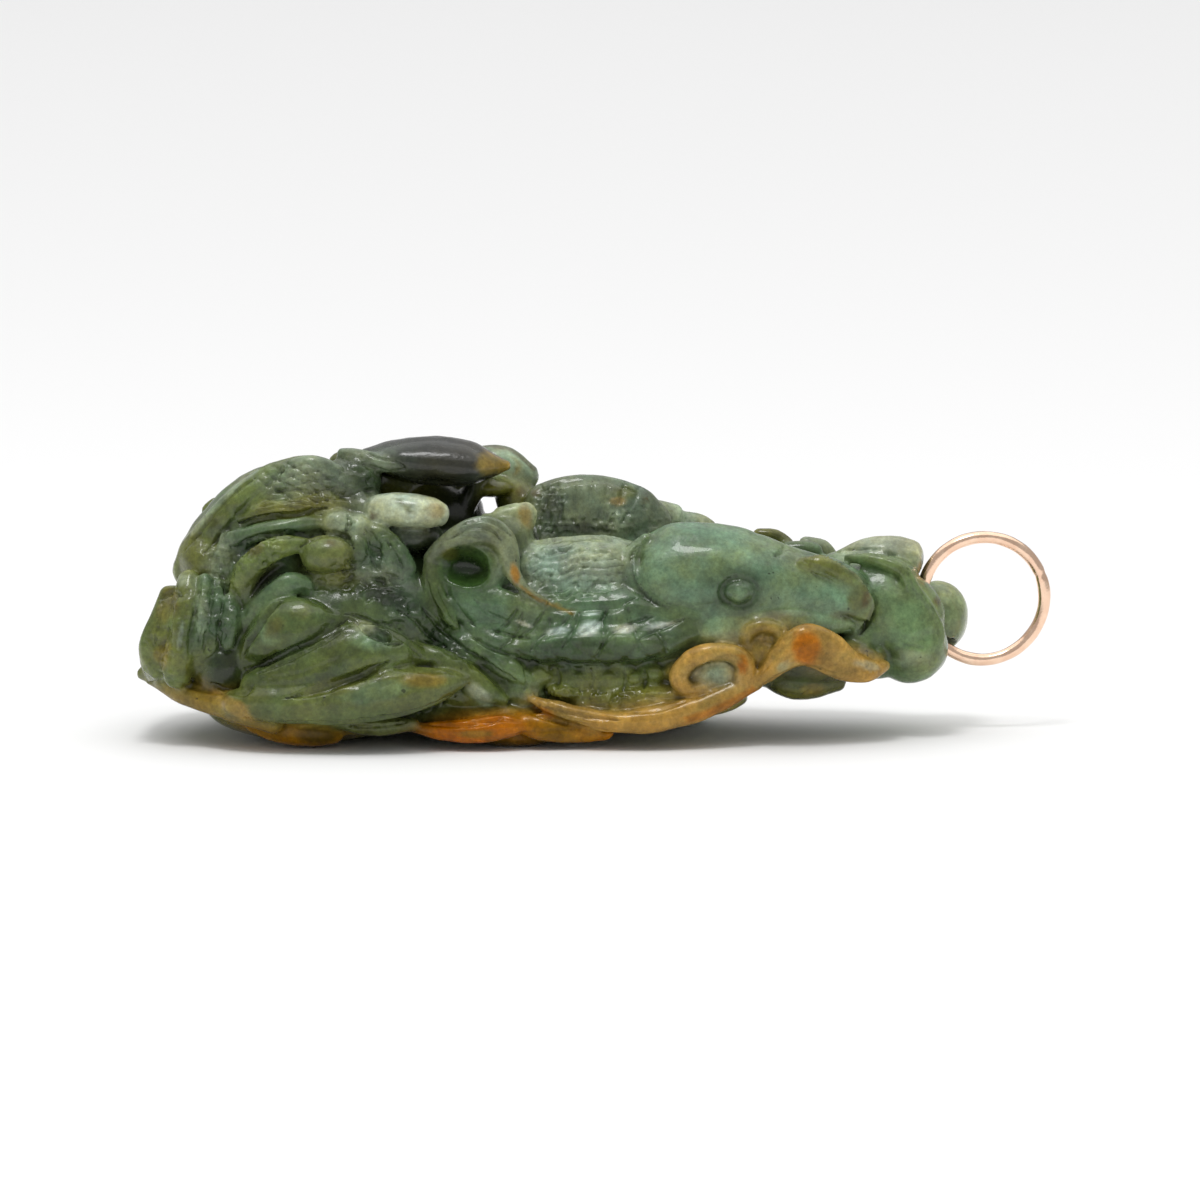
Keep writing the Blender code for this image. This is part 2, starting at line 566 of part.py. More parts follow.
def left_leaf():
    """The large cupped leaf of the upper left, with its thick rolled edge."""
    sweep(
        (-34.8, -4.2, 15.2, 1.4), (-33.8, -4.8, 17.0, 1.5), (-31.8, -5.4, 19.4, 1.6),
        (-29.4, -5.6, 21.4, 1.75), (-27.0, -5.2, 22.8, 1.8), (-24.6, -4.6, 23.4, 1.7),
        (-22.6, -3.8, 23.2, 1.4), thick=1.4,
    )
    sweep(
        (-33.4, -3.0, 15.8, 2.6), (-31.4, -3.4, 18.4, 3.0), (-28.4, -3.6, 20.6, 3.4),
        (-25.2, -3.6, 21.2, 3.2), (-22.4, -3.0, 21.4, 2.8), cap=0.4, thick=4.0,
    )
    blob(-28.8, 1, 16.3, 6.2, 9.5, 5.0, roll=42)
    blob(-25.5, 1.5, 19.4, 5.0, 7.5, 4.4, roll=20)
    sweep(
        (-27.0, -5.6, 22.3, 1.4), (-25.2, -6.0, 22.9, 2.1), (-23.3, -6.0, 22.8, 2.1),
        (-21.4, -5.4, 22.2, 1.5), thick=1.0,
    )
    sweep(
        (-29.4, -6.6, 19.9, 0.7), (-26.4, -7.2, 20.6, 0.9), (-23.4, -7.0, 20.9, 0.9),
        (-21.2, -6.2, 20.8, 0.7),
        thick=0.8,
    )
    sweep((-33.2, 2.8, 20.4, 0.8), (-32.7, 2.8, 20.9, 0.7), thick=1.4)
    sweep((-33.7, 2.6, 19.0, 0.75), (-33.2, 2.6, 19.8, 0.85), thick=1.4)
    blob(-31.8, 2.4, 18.6, 2.2, 2.6, 2.2)
    sweep(
        (-31.4, -7.2, 18.0, 0.6), (-31.7, -7.6, 16.4, 0.8), (-32.2, -7.8, 14.6, 0.8), thick=0.7,
    )
    blob(-33.2, -3.6, 16.2, 2.6, 4.2, 2.8)
    blob(-30.4, -4.6, 16.2, 3.0, 3.6, 3.2)
    blob(-25.8, -4.6, 18.4, 4.6, 3.4, 2.4)
    blob(-20.8, -3.6, 22.8, 2.6, 2.6, 2.4)
    blob(-20.0, -4.6, 20.6, 2.2, 2.6, 1.8)
    blob(-25.6, -4.4, 20.4, 5.0, 2.6, 1.8)


def far_side():
    """Plainer leaves and waves that finish the side away from the ribbon."""
    sweep(
        (-34, 6.5, 11.5, 1.4), (-29, 10.6, 12.4, 2.2), (-23, 12.4, 12.6, 2.4), (-17, 12.0, 11.6, 2.0),
        (-12, 10.6, 10.4, 0.7), thick=1.8, face=(0, 1, 0.3),
    )
    sweep(
        (-33, 7, 6.8, 1.4), (-28, 10.6, 6.2, 2.0), (-22, 12.2, 6.0, 2.3), (-15, 11.8, 5.8, 1.9),
        (-9, 10.2, 6.2, 0.6), thick=1.9, face=(0, 1, -0.2),
    )
    sweep(
        (-31, 7, 16.4, 1.2), (-27, 9.4, 17.2, 1.8), (-22, 10.2, 16.8, 1.8), (-17, 9.2, 15.4, 0.7),
        thick=1.6, face=(0, 1, 0.8),
    )
    sweep(
        (-7, 9.8, 8.6, 0.8), (-2, 10.4, 6.8, 1.3), (3, 10.2, 6.4, 1.5), (8, 9.2, 7.6, 1.4),
        (12, 7.8, 9.4, 1.0), (15.5, 6.4, 10.4, 0.4), thick=1.3, face=(0, 1, -0.1),
    )
    sweep(
        (-10, 9.0, 13.5, 0.7), (-6, 9.6, 14.1, 1.3), (-1, 9.8, 12.9, 1.4), (3, 9.2, 12.0, 0.6),
        thick=1.3, face=(0, 1, 0),
    )
    sweep(
        (5, 8.4, 13.0, 0.6), (9, 8.2, 14.2, 1.2), (13, 7.2, 14.2, 1.2), (16.5, 5.6, 13.4, 0.5),
        thick=1.2, face=(0, 1, 0.2),
    )
    sweep(
        (-32.9, 3.6, 18.4, 0.7), (-30.8, 4.0, 20.6, 1.7), (-28.0, 4.4, 22.3, 2.3),
        (-24.6, 4.6, 23.4, 2.2), (-21.4, 4.2, 23.4, 0.8), thick=1.2, face=(0, 0.35, 0.94),
    )
    sweep(
        (-33.6, 6.6, 15.8, 0.8), (-31.0, 8.2, 18.6, 1.8), (-27.6, 8.8, 20.6, 2.4),
        (-23.8, 8.4, 21.5, 2.2), (-20.4, 7.4, 21.2, 0.7), thick=1.3, face=(0, 0.75, 0.66),
    )
    sweep(
        (-21.4, 6.2, 20.8, 0.7), (-18.2, 7.4, 22.8, 1.7), (-14.8, 7.8, 23.3, 1.9),
        (-11.8, 6.8, 22.6, 1.3), (-10.4, 5.8, 21.6, 0.4), thick=1.2, face=(0, 0.7, 0.7),
    )
    sweep(
        (-6.0, 7.0, 18.6, 0.6), (-3.6, 8.2, 20.8, 1.3), (0.0, 8.6, 21.5, 1.6), (3.4, 7.8, 20.3, 1.3),
        (5.8, 6.6, 18.6, 0.5), thick=1.2, face=(0, 0.8, 0.6),
    )
    sweep(
        (-6.4, 9.2, 15.4, 0.6), (-3.2, 10.3, 17.6, 1.4), (0.8, 10.3, 18.0, 1.5), (4.4, 9.2, 17.0, 1.1),
        (6.8, 7.8, 15.6, 0.4), thick=1.2, face=(0, 1, 0.3),
    )
    blob(-1, 6.5, 11, 11, 3.8, 4.8)
    blob(2, 5.0, 6.4, 10, 4.4, 3.0)
    blob(13, 5.0, 12.6, 6.5, 3.4, 3.4)
    blob(-21, 7.0, 10.5, 10.5, 5.5, 6)


def hollows():
    """Deep undercuts, and the one gap that goes right through."""
    sweep((-9.1, -9, 20.7, 0.6), (-9.1, 9, 20.7, 0.6), group=cuts)
    blob(-9.0, 2.0, 22.6, 2.0, 2.6, 0.9)
    sweep(
        (-17.2, -8, 22.4, 0.45), (-13.5, -8, 22.2, 0.7), (-9.8, -8, 21.7, 0.6), flat=6, group=cuts,
    )
    sweep(
        (-5.6, -10.6, 7.1, 0.4), (-2, -10.6, 7.0, 0.45), (3.6, -10.6, 7.0, 0.45), flat=3, group=cuts,
    )


def carving():
    """The whole of the jade, one solid."""
    for part in (
        core, fish_head, eyes, fish_body, tail_curl, strands, dark_leaf, end_lobes,
        waves_behind_snout, amber_ribbon, beads, lower_petals, pointed_leaves, left_block, buds,
        left_leaf, far_side, hollows,
    ):
        part()
    stone = fuse(joined("jade_carving", clay), 0)
    hollow = fuse(joined("hollow_cutter", cuts), 0)
    cut(stone, hollow)
    fuse(stone, SOFTENING)
    outer_skin(stone)
    thin_out(stone, TRIANGLES)
    passage = ring_torus("passage_cutter", RING_WIRE / 2 + RING_CLEARANCE)
    cut(stone, passage)
    level(stone)
    return stone


def cut(obj, cutter):
    """Takes the cutter's volume from the object."""
    boolean = obj.modifiers.new("Cut", "BOOLEAN")
    boolean.operation = "DIFFERENCE"
    boolean.solver = "EXACT"
    boolean.object = cutter
    settled(obj)


def thin_out(obj, triangles):
    """Brings the skin down to about this many triangles."""
    obj.data.calc_loop_triangles()
    thin = obj.modifiers.new("Thin", "DECIMATE")
    thin.ratio = triangles / len(obj.data.loop_triangles)
    thin.use_collapse_triangulate = True
    settled(obj)


def level(obj):
    """Grinds the lowest points flat, so that the carving lies on its four feet."""
    bm = bmesh.new()
    bmesh.ops.create_cube(bm, size=1)
    depth = 10 * UNIT
    size = Matrix.Diagonal((2 * CARVING_LENGTH, CARVING_LENGTH, depth, 1))
    bmesh.ops.transform(bm, matrix=Matrix.Translation((0, 0, -depth / 2)) @ size, verts=bm.verts)
    block = []
    keep(bm, block)
    cut(obj, joined("foot_cutter", block))


def ring_torus(name, wire_radius):
    """A torus on the circle of the ring's wire, which stands in the lobe's hole."""
    radius = (RING_OUTER_DIAMETER - RING_WIRE) / 2
    turn = math.radians(RING_TURN)
    bpy.ops.mesh.primitive_torus_add(
        major_segments=RING_FACETS,
        minor_segments=WIRE_FACETS,
        major_radius=radius,
        minor_radius=wire_radius,
        location=seen(*RING_HOLE) + Vector((math.cos(turn), math.sin(turn), 0)) * radius,
        rotation=(math.radians(90), 0, turn),
    )
    obj = bpy.context.object
    obj.name = name
    return obj


def material(name, colour, roughness, metallic):
    """A Principled material."""
    mat = bpy.data.materials.new(name)
    mat.use_nodes = True
    shader = mat.node_tree.nodes["Principled BSDF"]
    shader.inputs["Base Color"].default_value = (*colour, 1)
    shader.inputs["Roughness"].default_value = roughness
    shader.inputs["Metallic"].default_value = metallic
    return mat


def collect(name, objects, cutter=False):
    """Puts the objects in a collection of their own."""
    group = bpy.data.collections.new(name)
    bpy.context.scene.collection.children.link(group)
    for obj in objects:
        for old in list(obj.users_collection):
            old.objects.unlink(obj)
        group.objects.link(obj)
        if cutter:
            obj.hide_render = True
            obj.display_type = "WIRE"


def centre(objects):
    """Moves everything so that the origin is below the middle of the whole."""
    corners = [obj.matrix_world @ Vector(corner) for obj in objects for corner in obj.bound_box]
    middle = [(min(c[i] for c in corners) + max(c[i] for c in corners)) / 2 for i in (0, 1)]
    shift = Matrix.Translation((-middle[0], -middle[1], 0))
    for obj in objects:
        obj.data.transform(shift @ obj.matrix_world)
        obj.matrix_world = Matrix()


clear_scene()
stone = carving()
ring = ring_torus("gold_ring", RING_WIRE / 2)
for obj, mat in (
    (stone, material("green_jade", (0.13, 0.19, 0.14), 0.22, 0)),
    (ring, material("rose_gold", (0.80, 0.47, 0.30), 0.2, 1)),
):
    obj.data.materials.clear()
    obj.data.materials.append(mat)
    obj.data.shade_smooth()
bpy.context.view_layer.update()
centre([stone, ring])
collect("jade_pendant", [stone, ring])
collect("cutters", [obj for obj in bpy.data.objects if obj.name.endswith("_cutter")], cutter=True)
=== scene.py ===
"""Jade pendant: the fine carving, its colours, the gold ring and a plain studio.

Places and widths are in shares of the carving, 1 mm each, as the side view from 8 degrees above
shows them: x along the carving, y away from the viewer, h up the picture.
"""
import math

import bmesh
import bpy
import numpy as np
from mathutils import Matrix, Vector
from mathutils.kdtree import KDTree


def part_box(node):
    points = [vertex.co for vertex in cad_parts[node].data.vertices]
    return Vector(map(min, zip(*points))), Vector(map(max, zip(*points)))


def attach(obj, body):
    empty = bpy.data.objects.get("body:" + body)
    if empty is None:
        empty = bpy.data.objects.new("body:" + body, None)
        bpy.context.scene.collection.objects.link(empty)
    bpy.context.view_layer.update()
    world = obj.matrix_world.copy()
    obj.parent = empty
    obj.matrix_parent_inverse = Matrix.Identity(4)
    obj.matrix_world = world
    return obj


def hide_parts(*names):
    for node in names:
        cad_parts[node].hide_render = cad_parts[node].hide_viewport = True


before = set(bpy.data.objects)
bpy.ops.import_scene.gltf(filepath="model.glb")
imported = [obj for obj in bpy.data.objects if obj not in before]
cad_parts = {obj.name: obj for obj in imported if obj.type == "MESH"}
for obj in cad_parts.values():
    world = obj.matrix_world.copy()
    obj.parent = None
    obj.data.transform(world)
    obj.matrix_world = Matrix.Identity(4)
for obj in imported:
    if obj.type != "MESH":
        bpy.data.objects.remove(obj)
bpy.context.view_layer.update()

UNIT = 0.001
SIGHT_TILT = 8
SIGHT_SLOPE = math.tan(math.radians(SIGHT_TILT))
NEAR_FOOT_Y = -9
FRONT = (0, -1, 0)
EYE_X = 12.2
EYE_H = 13.3
EYE_RING_STEPS = 14
RING_HOLE = (28.08, 0.24, 12.75)
RING_TURN = 6
RING_WIRE = 1.1
RING_MIDLINE = 5.35
RING_SEAM = 0.38
PASSAGE = 1.05
CAMERA_AIM = (0.38, -9, 12.67)
PICTURE_WIDTH = 102
WORLD_LIGHT = 0.5

# How finely the forms are melted together, in shares, and the triangles of the finished skin.
GRAIN = 0.15
QUICK_TRIANGLES = 90000
TRIANGLES = 196000

# Steps round and across: the ring, the way cut for it, and a ball.
RING_STEPS = 220
WIRE_STEPS = 28
PASSAGE_STEPS = 96
PASSAGE_SIDES = 20
BALL_AROUND = 40
BALL_UP = 24

# The map of what a viewer meets first: its lowest x and h, its cell, and its cells each way.
MAP_LOW = (-60, -20)
MAP_CELL = 0.5
MAP_CELLS = (240, 120)

# The random lattice of the noise, and a shift that keeps its places above 0.
LATTICE = 32
LATTICE_SHIFT = 1000

# How often colours run together, and how often the skin is smoothed to find its edges and hollows.
COLOUR_SPREAD = 14
FINE_SPREAD = 4
MIDDLE_SPREAD = 20
BROAD_SPREAD = 80

# A rounded end: how far out each section lies and how wide it is, as shares of the half width.
CAP = ((0.95, 0.3), (0.8, 0.6), (0.45, 0.9))

# Colours as they look in the photograph, from 0 to 255.
TONES = {
    "green": (80, 101, 68),
    "head": (106, 131, 98),
    "wave": (138, 154, 128),
    # deep, shade and hollow are dark tones for the lumps and cuts that fill recesses and hollows: painted
    # shade
    "deep": (48, 64, 36),
    "shade": (34, 38, 22),
    "hollow": (54, 80, 34),
    "fin": (98, 110, 84),
    "pale": (146, 158, 124),
    "mint": (172, 184, 156),
    "grey": (110, 121, 94),
    "pod": (44, 44, 36),
    "olive": (98, 100, 40),
    "olive_green": (96, 105, 50),
    "olive_deep": (84, 86, 28),
    "olive_amber": (142, 120, 48),
    "amber": (162, 128, 60),
    "amber_deep": (156, 104, 0),
    "amber_dull": (130, 106, 36),
    "orange": (164, 92, 0),
    "brown": (74, 58, 14),
    "leaf": (74, 88, 44),
    "leaf_low": (90, 99, 48),
    "lobe": (102, 122, 76),
    "lobe_top": (146, 154, 128),
    "lobe_back": (138, 150, 104),
    "bud": (100, 106, 52),
    # painted highlight: pale lozenges where light catches the scales of the flank
    "painted_highlight": (196, 202, 186),
    "black": (24, 24, 16),
}
NAMES = list(TONES)

clay = []
cuts = []


def seen(x, y, h):
    """The point at x, y that a side view from 8 degrees above shows at height h over the near feet."""
    return Vector((x, y, h - (y - NEAR_FOOT_Y) * SIGHT_SLOPE)) * UNIT


def keep(bm, group, tone):
    """Keeps a closed lump of the carving for the join, or for the cut."""
    mesh = bpy.data.meshes.new("lump")
    bm.to_mesh(mesh)
    bm.free()
    group.append((mesh, NAMES.index(tone)))


def blob(x, y, h, rx, ry, rz, roll=0, yaw=0, pitch=0, group=None, tone="green"):
    """An ellipsoid. roll turns it in the side view, raising its +X end, yaw turns it in the plan."""
    bm = bmesh.new()
    bmesh.ops.create_uvsphere(bm, u_segments=BALL_AROUND, v_segments=BALL_UP, radius=1)
    turn = (
        Matrix.Rotation(math.radians(yaw), 4, "Z")
        @ Matrix.Rotation(math.radians(-roll), 4, "Y")
        @ Matrix.Rotation(math.radians(pitch), 4, "X")
    )
    size = Matrix.Diagonal((rx * UNIT, ry * UNIT, rz * UNIT, 1))
    bmesh.ops.transform(bm, matrix=Matrix.Translation(seen(x, y, h)) @ turn @ size, verts=bm.verts)
    keep(bm, clay if group is None else group, tone)


def smooth_line(points, steps):
    """Points on a Catmull-Rom curve through the given points, each a list of numbers."""
    ends = [[2 * a - b for a, b in zip(points[0], points[1])]]
    tail = [[2 * a - b for a, b in zip(points[-1], points[-2])]]
    full = ends + [list(p) for p in points] + tail
    line = []
    for i in range(1, len(full) - 2):
        for s in range(steps):
            t = s / steps
            line.append(
                [
                    0.5
                    * (
                        2 * b
                        + (c - a) * t
                        + (2 * a - 5 * b + 4 * c - d) * t * t
                        + (3 * b - a - 3 * c + d) * t * t * t
                    )
                    for a, b, c, d in zip(full[i - 1], full[i], full[i + 1], full[i + 2])
                ]
            )
    line.append(full[-2])
    return line


def sweep(*stations, thick=None, flat=1, face=FRONT, cap=1, group=None, tone="green", sides=32, steps=8):
    """A lump that follows stations of (x, y, h, half width), with rounded ends.

    Its section is an ellipse whose flat side looks along face. Its half thickness is flat
    times the half width, and never more than thick. cap shortens the rounded ends.
    """
    line = smooth_line(stations, steps)
    places = [seen(*p[:3]) for p in line]
    widths = [p[3] * UNIT for p in line]
    rings = []
    for i, (place, width) in enumerate(zip(places, widths)):
        along = (places[min(i + 1, len(places) - 1)] - places[max(i - 1, 0)]).normalized()
        if i == 0:
            rings += [(place - along * width * a * cap, along, width * b) for a, b in CAP]
        rings.append((place, along, width))
        if i == len(places) - 1:
            rings += [(place + along * width * a * cap, along, width * b) for a, b in reversed(CAP)]
    bm = bmesh.new()
    loops = []
    for place, along, width in rings:
        side = along.cross(Vector(face)).normalized()
        out = side.cross(along).normalized()
        deep = width * flat
        if thick is not None:
            deep = min(deep, thick * UNIT)
        loops.append(
            [
                bm.verts.new(place + side * width * math.cos(a) + out * deep * math.sin(a))
                for a in (math.tau * k / sides for k in range(sides))
            ]
        )
    for one, two in zip(loops, loops[1:]):
        for k in range(sides):
            n = (k + 1) % sides
            bm.faces.new((one[k], one[n], two[n], two[k]))
    bm.faces.new(reversed(loops[0]))
    bm.faces.new(loops[-1])
    bmesh.ops.recalc_face_normals(bm, faces=bm.faces)
    keep(bm, clay if group is None else group, tone)


def joined(name, lumps):
    """One object that holds all the lumps, still overlapping."""
    bm = bmesh.new()
    for mesh, tone in lumps:
        bm.from_mesh(mesh)
    whole = bpy.data.meshes.new(name)
    bm.to_mesh(whole)
    bm.free()
    obj = bpy.data.objects.new(name, whole)
    bpy.context.scene.collection.objects.link(obj)
    return obj


def settled(obj):
    """The same object with its modifiers applied."""
    graph = bpy.context.evaluated_depsgraph_get()
    mesh = bpy.data.meshes.new_from_object(obj.evaluated_get(graph))
    obj.modifiers.clear()
    obj.data = mesh
    return obj


def fuse(obj, smooth):
    """Melts the overlapping lumps into one skin and rounds it a little."""
    remesh = obj.modifiers.new("Fuse", "REMESH")
    remesh.mode = "VOXEL"
    remesh.voxel_size = GRAIN * UNIT
    if smooth:
        soften = obj.modifiers.new("Soften", "SMOOTH")
        soften.factor = 0.5
        soften.iterations = smooth
    return settled(obj)


def core():
    """The stone that carries everything, inside."""
    blob(-22, 1, 11, 13.5, 12.5, 8.2, roll=8, tone="deep")
    blob(-27, 1, 9.5, 9.5, 12, 6.5, tone="deep")
    blob(-4, 2, 10, 16, 9, 6.2, tone="deep")
    blob(16, 2, 11.5, 12, 6.5, 4.6, tone="deep")
    blob(-14, 3, 15, 9, 8, 5.5, tone="deep")
    blob(-15.5, 3.5, 20.0, 6.0, 6.0, 4.2, tone="shade")
    blob(-11, -4, 5.6, 6.5, 5.6, 3.4, tone="deep")
    blob(14, -3.6, 8.2, 6.0, 4.6, 3.0, tone="deep")


def fish_head():
    """Head in profile, snout to the ring: skull cap, cheek, gill plate, ridged lip and jaw."""
    sweep(
        (5.2, -4.2, 14.3, 4.4), (7, -4.4, 14.2, 4.95), (9.5, -4.6, 14.1, 5.05), (12, -4.6, 13.9, 4.85),
        (14, -4.5, 13.8, 4.4), (16, -4.4, 13.5, 3.9), (18, -4.4, 13.2, 3.6), (20, -4.4, 12.9, 3.3),
        (21.5, -4.4, 12.5, 2.9), (22.6, -4.4, 12.1, 2.2), (23.1, -4.4, 11.9, 1.6),
        cap=0.45, thick=4.6, tone="head",
    )
    sweep(
        (5.0, -4.4, 16.2, 2.3), (7.0, -4.8, 16.4, 2.9), (10, -4.9, 16.4, 2.85), (13, -4.7, 16.2, 2.5),
        (15.2, -4.4, 16.3, 1.4), cap=0.6, thick=4.6, tone="head",
    )
    sweep(
        (4.4, -5.6, 17.6, 0.8), (3.0, -6.0, 16.4, 0.85), (3.2, -6.8, 15.0, 1.0), (4.6, -7.6, 13.6, 1.2),
        (6.5, -8.0, 12.6, 1.2), thick=0.9, tone="green",
    )
    sweep(
        (17.6, -6.8, 15.8, 0.5), (20.0, -6.6, 15.1, 0.7), (21.9, -6.2, 13.8, 0.75),
        (22.8, -5.8, 12.5, 0.65), (22.3, -5.9, 11.2, 0.6), thick=0.8, tone="olive",
    )
    sweep((14, -8.0, 10.6, 1.5), (18, -7.2, 10.6, 1.4), (21.6, -5.8, 10.8, 0.9), thick=1.2, tone="head")
    blob(11.5, -6.6, 10.2, 5.0, 2.6, 2.4, tone="head")


def eyes():
    """A bead in a sunk ring, on either side of the head."""
    for y, out in ((-9.3, -1), (0.5, 1)):
        for k in range(EYE_RING_STEPS):
            turn = math.tau * k / EYE_RING_STEPS
            blob(
                EYE_X + 1.5 * math.cos(turn), y, EYE_H + 1.25 * math.sin(turn), 0.44, 0.6, 0.44,
                group=cuts, tone="deep",
            )
        blob(EYE_X, y - 0.2 * out, EYE_H, 0.85, 0.55, 0.8, tone="head")


def fish_body():
    """Scaled flank, ribbed back, and the high fin that fans over it."""
    sweep(
        (9, -4.6, 11.6, 4.2), (5, -5.0, 10.6, 4.6), (0, -5.2, 10.0, 4.7), (-4.5, -4.9, 10.4, 4.5),
        (-8.5, -4.6, 11.4, 3.9), (-11.4, -4.4, 12.8, 3.0), thick=4.7, cap=0.5, tone="green",
    )
    sweep(
        (8, -8.4, 9.8, 0.9), (4, -9.0, 9.0, 1.5), (-1, -9.0, 8.6, 1.7), (-5.5, -8.6, 9.0, 1.6),
        (-9.5, -7.8, 10.2, 1.2), thick=1.1, tone="green",
    )
    sweep(
        (-5.4, -3.8, 14.7, 3.1), (-2.5, -4.2, 14.9, 3.3), (0.5, -4.2, 14.9, 3.3), (3, -4.0, 14.8, 3.0),
        thick=3.3, cap=0.4, tone="wave",
    )
    sweep(
        (-4.6, 0.6, 18.2, 4.0), (-3.4, 0.6, 18.6, 4.5), (-1.6, 0.6, 18.8, 4.75), (0.4, 0.6, 18.6, 4.8),
        (2.5, 0.8, 18.2, 4.6), (4.0, 1.2, 17.8, 4.1), (5.2, 1.8, 17.6, 3.4), cap=0.2, thick=2.2, tone="fin",
    )
    blob(-0.5, 5.4, 18.4, 5.6, 5.0, 4.2, tone="fin")
    blob(-4.6, 1.6, 17.6, 2.6, 4.0, 3.2, tone="deep")
    sweep(
        (3.2, 2.2, 19.8, 1.8), (5.2, 2.6, 19.8, 1.65), (6.9, 3.0, 19.7, 1.35), cap=0.5, thick=1.6,
        tone="pale",
    )
    sweep(
        (6.9, 3.2, 19.2, 1.3), (8.8, 3.6, 19.0, 1.2), (10.0, 3.8, 18.7, 0.9), cap=0.4, thick=1.6,
        tone="pale",
    )
    blob(8.0, 3.0, 17.0, 3.4, 3.0, 2.4, tone="fin")


def tail_curl():
    """The tail fin, rolled over like a shell, with its hollow to the front."""
    blob(-10.6, -5.6, 15.4, 3.8, 3.4, 4.0, roll=-20, tone="green")
    sweep(
        (-14.0, -7.4, 16.2, 0.7), (-12.9, -7.8, 17.3, 0.9), (-11.2, -7.9, 18.2, 1.15),
        (-9.4, -7.8, 18.6, 1.3), (-8.0, -7.6, 17.8, 1.25), (-7.4, -7.8, 16.3, 1.0),
        (-7.0, -8.2, 14.9, 0.7), (-5.9, -8.7, 13.5, 0.45), (-4.2, -9.0, 12.4, 0.3), thick=1.2, tone="grey",
    )
    sweep(
        (-14.0, -7.2, 16.4, 0.6), (-14.0, -7.8, 14.6, 0.75), (-13.4, -8.4, 12.8, 0.7),
        (-12.5, -8.8, 11.3, 0.55), (-11.9, -8.8, 10.4, 0.3), thick=0.9, tone="leaf",
    )
    sweep(
        (-15.1, -6.4, 15.0, 0.35), (-14.9, -6.9, 13.4, 0.45), (-13.9, -7.6, 11.6, 0.5),
        (-12.6, -8.0, 10.2, 0.3),
        thick=0.7, tone="leaf",
    )
    sweep(
        (-11.0, -8.0, 12.3, 1.6), (-8.2, -8.2, 12.0, 1.7), (-5.0, -8.4, 11.4, 1.2), thick=0.9,
        tone="green",
    )
    sweep(
        (-9.6, -3.5, 19.6, 0.5), (-8.0, -3.5, 19.9, 0.85), (-6.6, -3.5, 20.3, 0.8), thick=0.8,
        cap=0.6, tone="pale",
    )
    blob(-6.5, -3.2, 19.3, 1.3, 1.2, 2.0, roll=-30, tone="pale")
    blob(-7.6, -3.0, 17.8, 2.4, 3.4, 2.4, tone="deep")
    blob(-11.3, -9.6, 15.5, 2.7, 2.2, 1.8, roll=10, group=cuts, tone="hollow")
    blob(-11.0, -9.4, 15.2, 2.2, 2.5, 1.6, roll=-10, group=cuts, tone="hollow")


def strands():
    """Long strands that run down from the curl between the leaves and the flank."""
    blob(-11.0, -5.4, 8.4, 4.4, 4.0, 3.0, roll=-38, tone="deep")
    sweep(
        (-11.4, -8.2, 9.6, 0.5), (-9.6, -8.8, 8.4, 0.9), (-7.6, -9.2, 7.0, 1.0), (-5.8, -9.2, 5.8, 0.6),
        (-4.8, -9.0, 5.2, 0.3), thick=0.8, tone="green",
    )
    sweep(
        (-11.0, -8.0, 10.6, 0.4), (-9.0, -8.8, 9.4, 0.6), (-6.6, -9.3, 8.4, 0.6), (-4.2, -9.4, 7.6, 0.4),
        thick=0.7, tone="green",
    )
    sweep(
        (-14.6, -7.6, 10.0, 0.4), (-12.2, -8.0, 8.4, 0.55), (-9.8, -8.6, 6.6, 0.6), (-7.8, -9.0, 5.2, 0.4),
        thick=0.7, tone="shade",
    )
    sweep(
        (-15.6, -9.8, 8.6, 0.6), (-13.4, -10.0, 7.6, 1.0), (-11.2, -10.0, 6.2, 1.2), (-9.4, -9.8, 4.9, 1.0),
        (-7.8, -9.6, 4.1, 0.4), thick=1.0, tone="leaf",
    )
    blob(-11.0, -6.4, 4.8, 4.6, 3.6, 2.0, roll=-10, tone="olive")
    blob(-6.0, -6.4, 7.2, 2.2, 2.6, 1.8, tone="deep")
    blob(-6.2, -7.8, 4.8, 2.2, 1.9, 1.5, roll=-20, tone="green")


def dark_leaf():
    """The dark polished leaf on top, its stalk, and the pale lobe behind its tip."""
    sweep(
        (-19.6, -1.5, 25.1, 0.7), (-17.5, -1.8, 25.0, 1.5), (-14, -2.0, 24.7, 2.1), (-11, -2.0, 24.5, 1.9),
        (-9, -2.0, 24.3, 1.2), (-7.7, -2.0, 24.3, 0.45), flat=2.0, thick=3.4, tone="pod",
    )
    sweep(
        (-21.8, -3.2, 25.3, 0.55), (-20.4, -3.8, 25.0, 0.75), (-18.4, -4.4, 24.5, 0.8),
        (-16.7, -4.6, 24.1, 0.45), thick=0.8, cap=0.6, tone="grey",
    )
    sweep(
        (-21.6, -0.4, 24.2, 1.5), (-18.5, -0.6, 23.2, 1.7), (-15, 0.6, 22.6, 1.2), thick=2.8, tone="olive"
    )
    sweep((-10.0, 0.5, 23.4, 1.1), (-10.9, 0.5, 21.4, 0.9), (-12.0, 0.5, 19.6, 1.2), tone="shade")
    sweep((-10.4, 3.4, 24.9, 1.2), (-8.0, 3.6, 24.4, 1.7), (-6.4, 3.6, 23.4, 1.5), thick=1.6, tone="pale")
    sweep((-7.5, 3.2, 23.0, 1.5), (-6.7, 2.8, 21.2, 1.9), (-5.6, 2.6, 19.2, 2.2), tone="olive")
    blob(-7.4, 0.5, 17.6, 2.6, 5.0, 2.4, tone="shade")
    sweep(
        (-18.7, -6.4, 20.4, 1.35), (-16.5, -6.8, 20.4, 1.5), (-14.2, -6.8, 20.2, 1.4),
        (-13.2, -6.6, 20.0, 1.1), flat=1.1, cap=0.7, tone="mint",
    )
    blob(-16, -4.6, 18.2, 3.2, 2.6, 1.4, tone="shade")


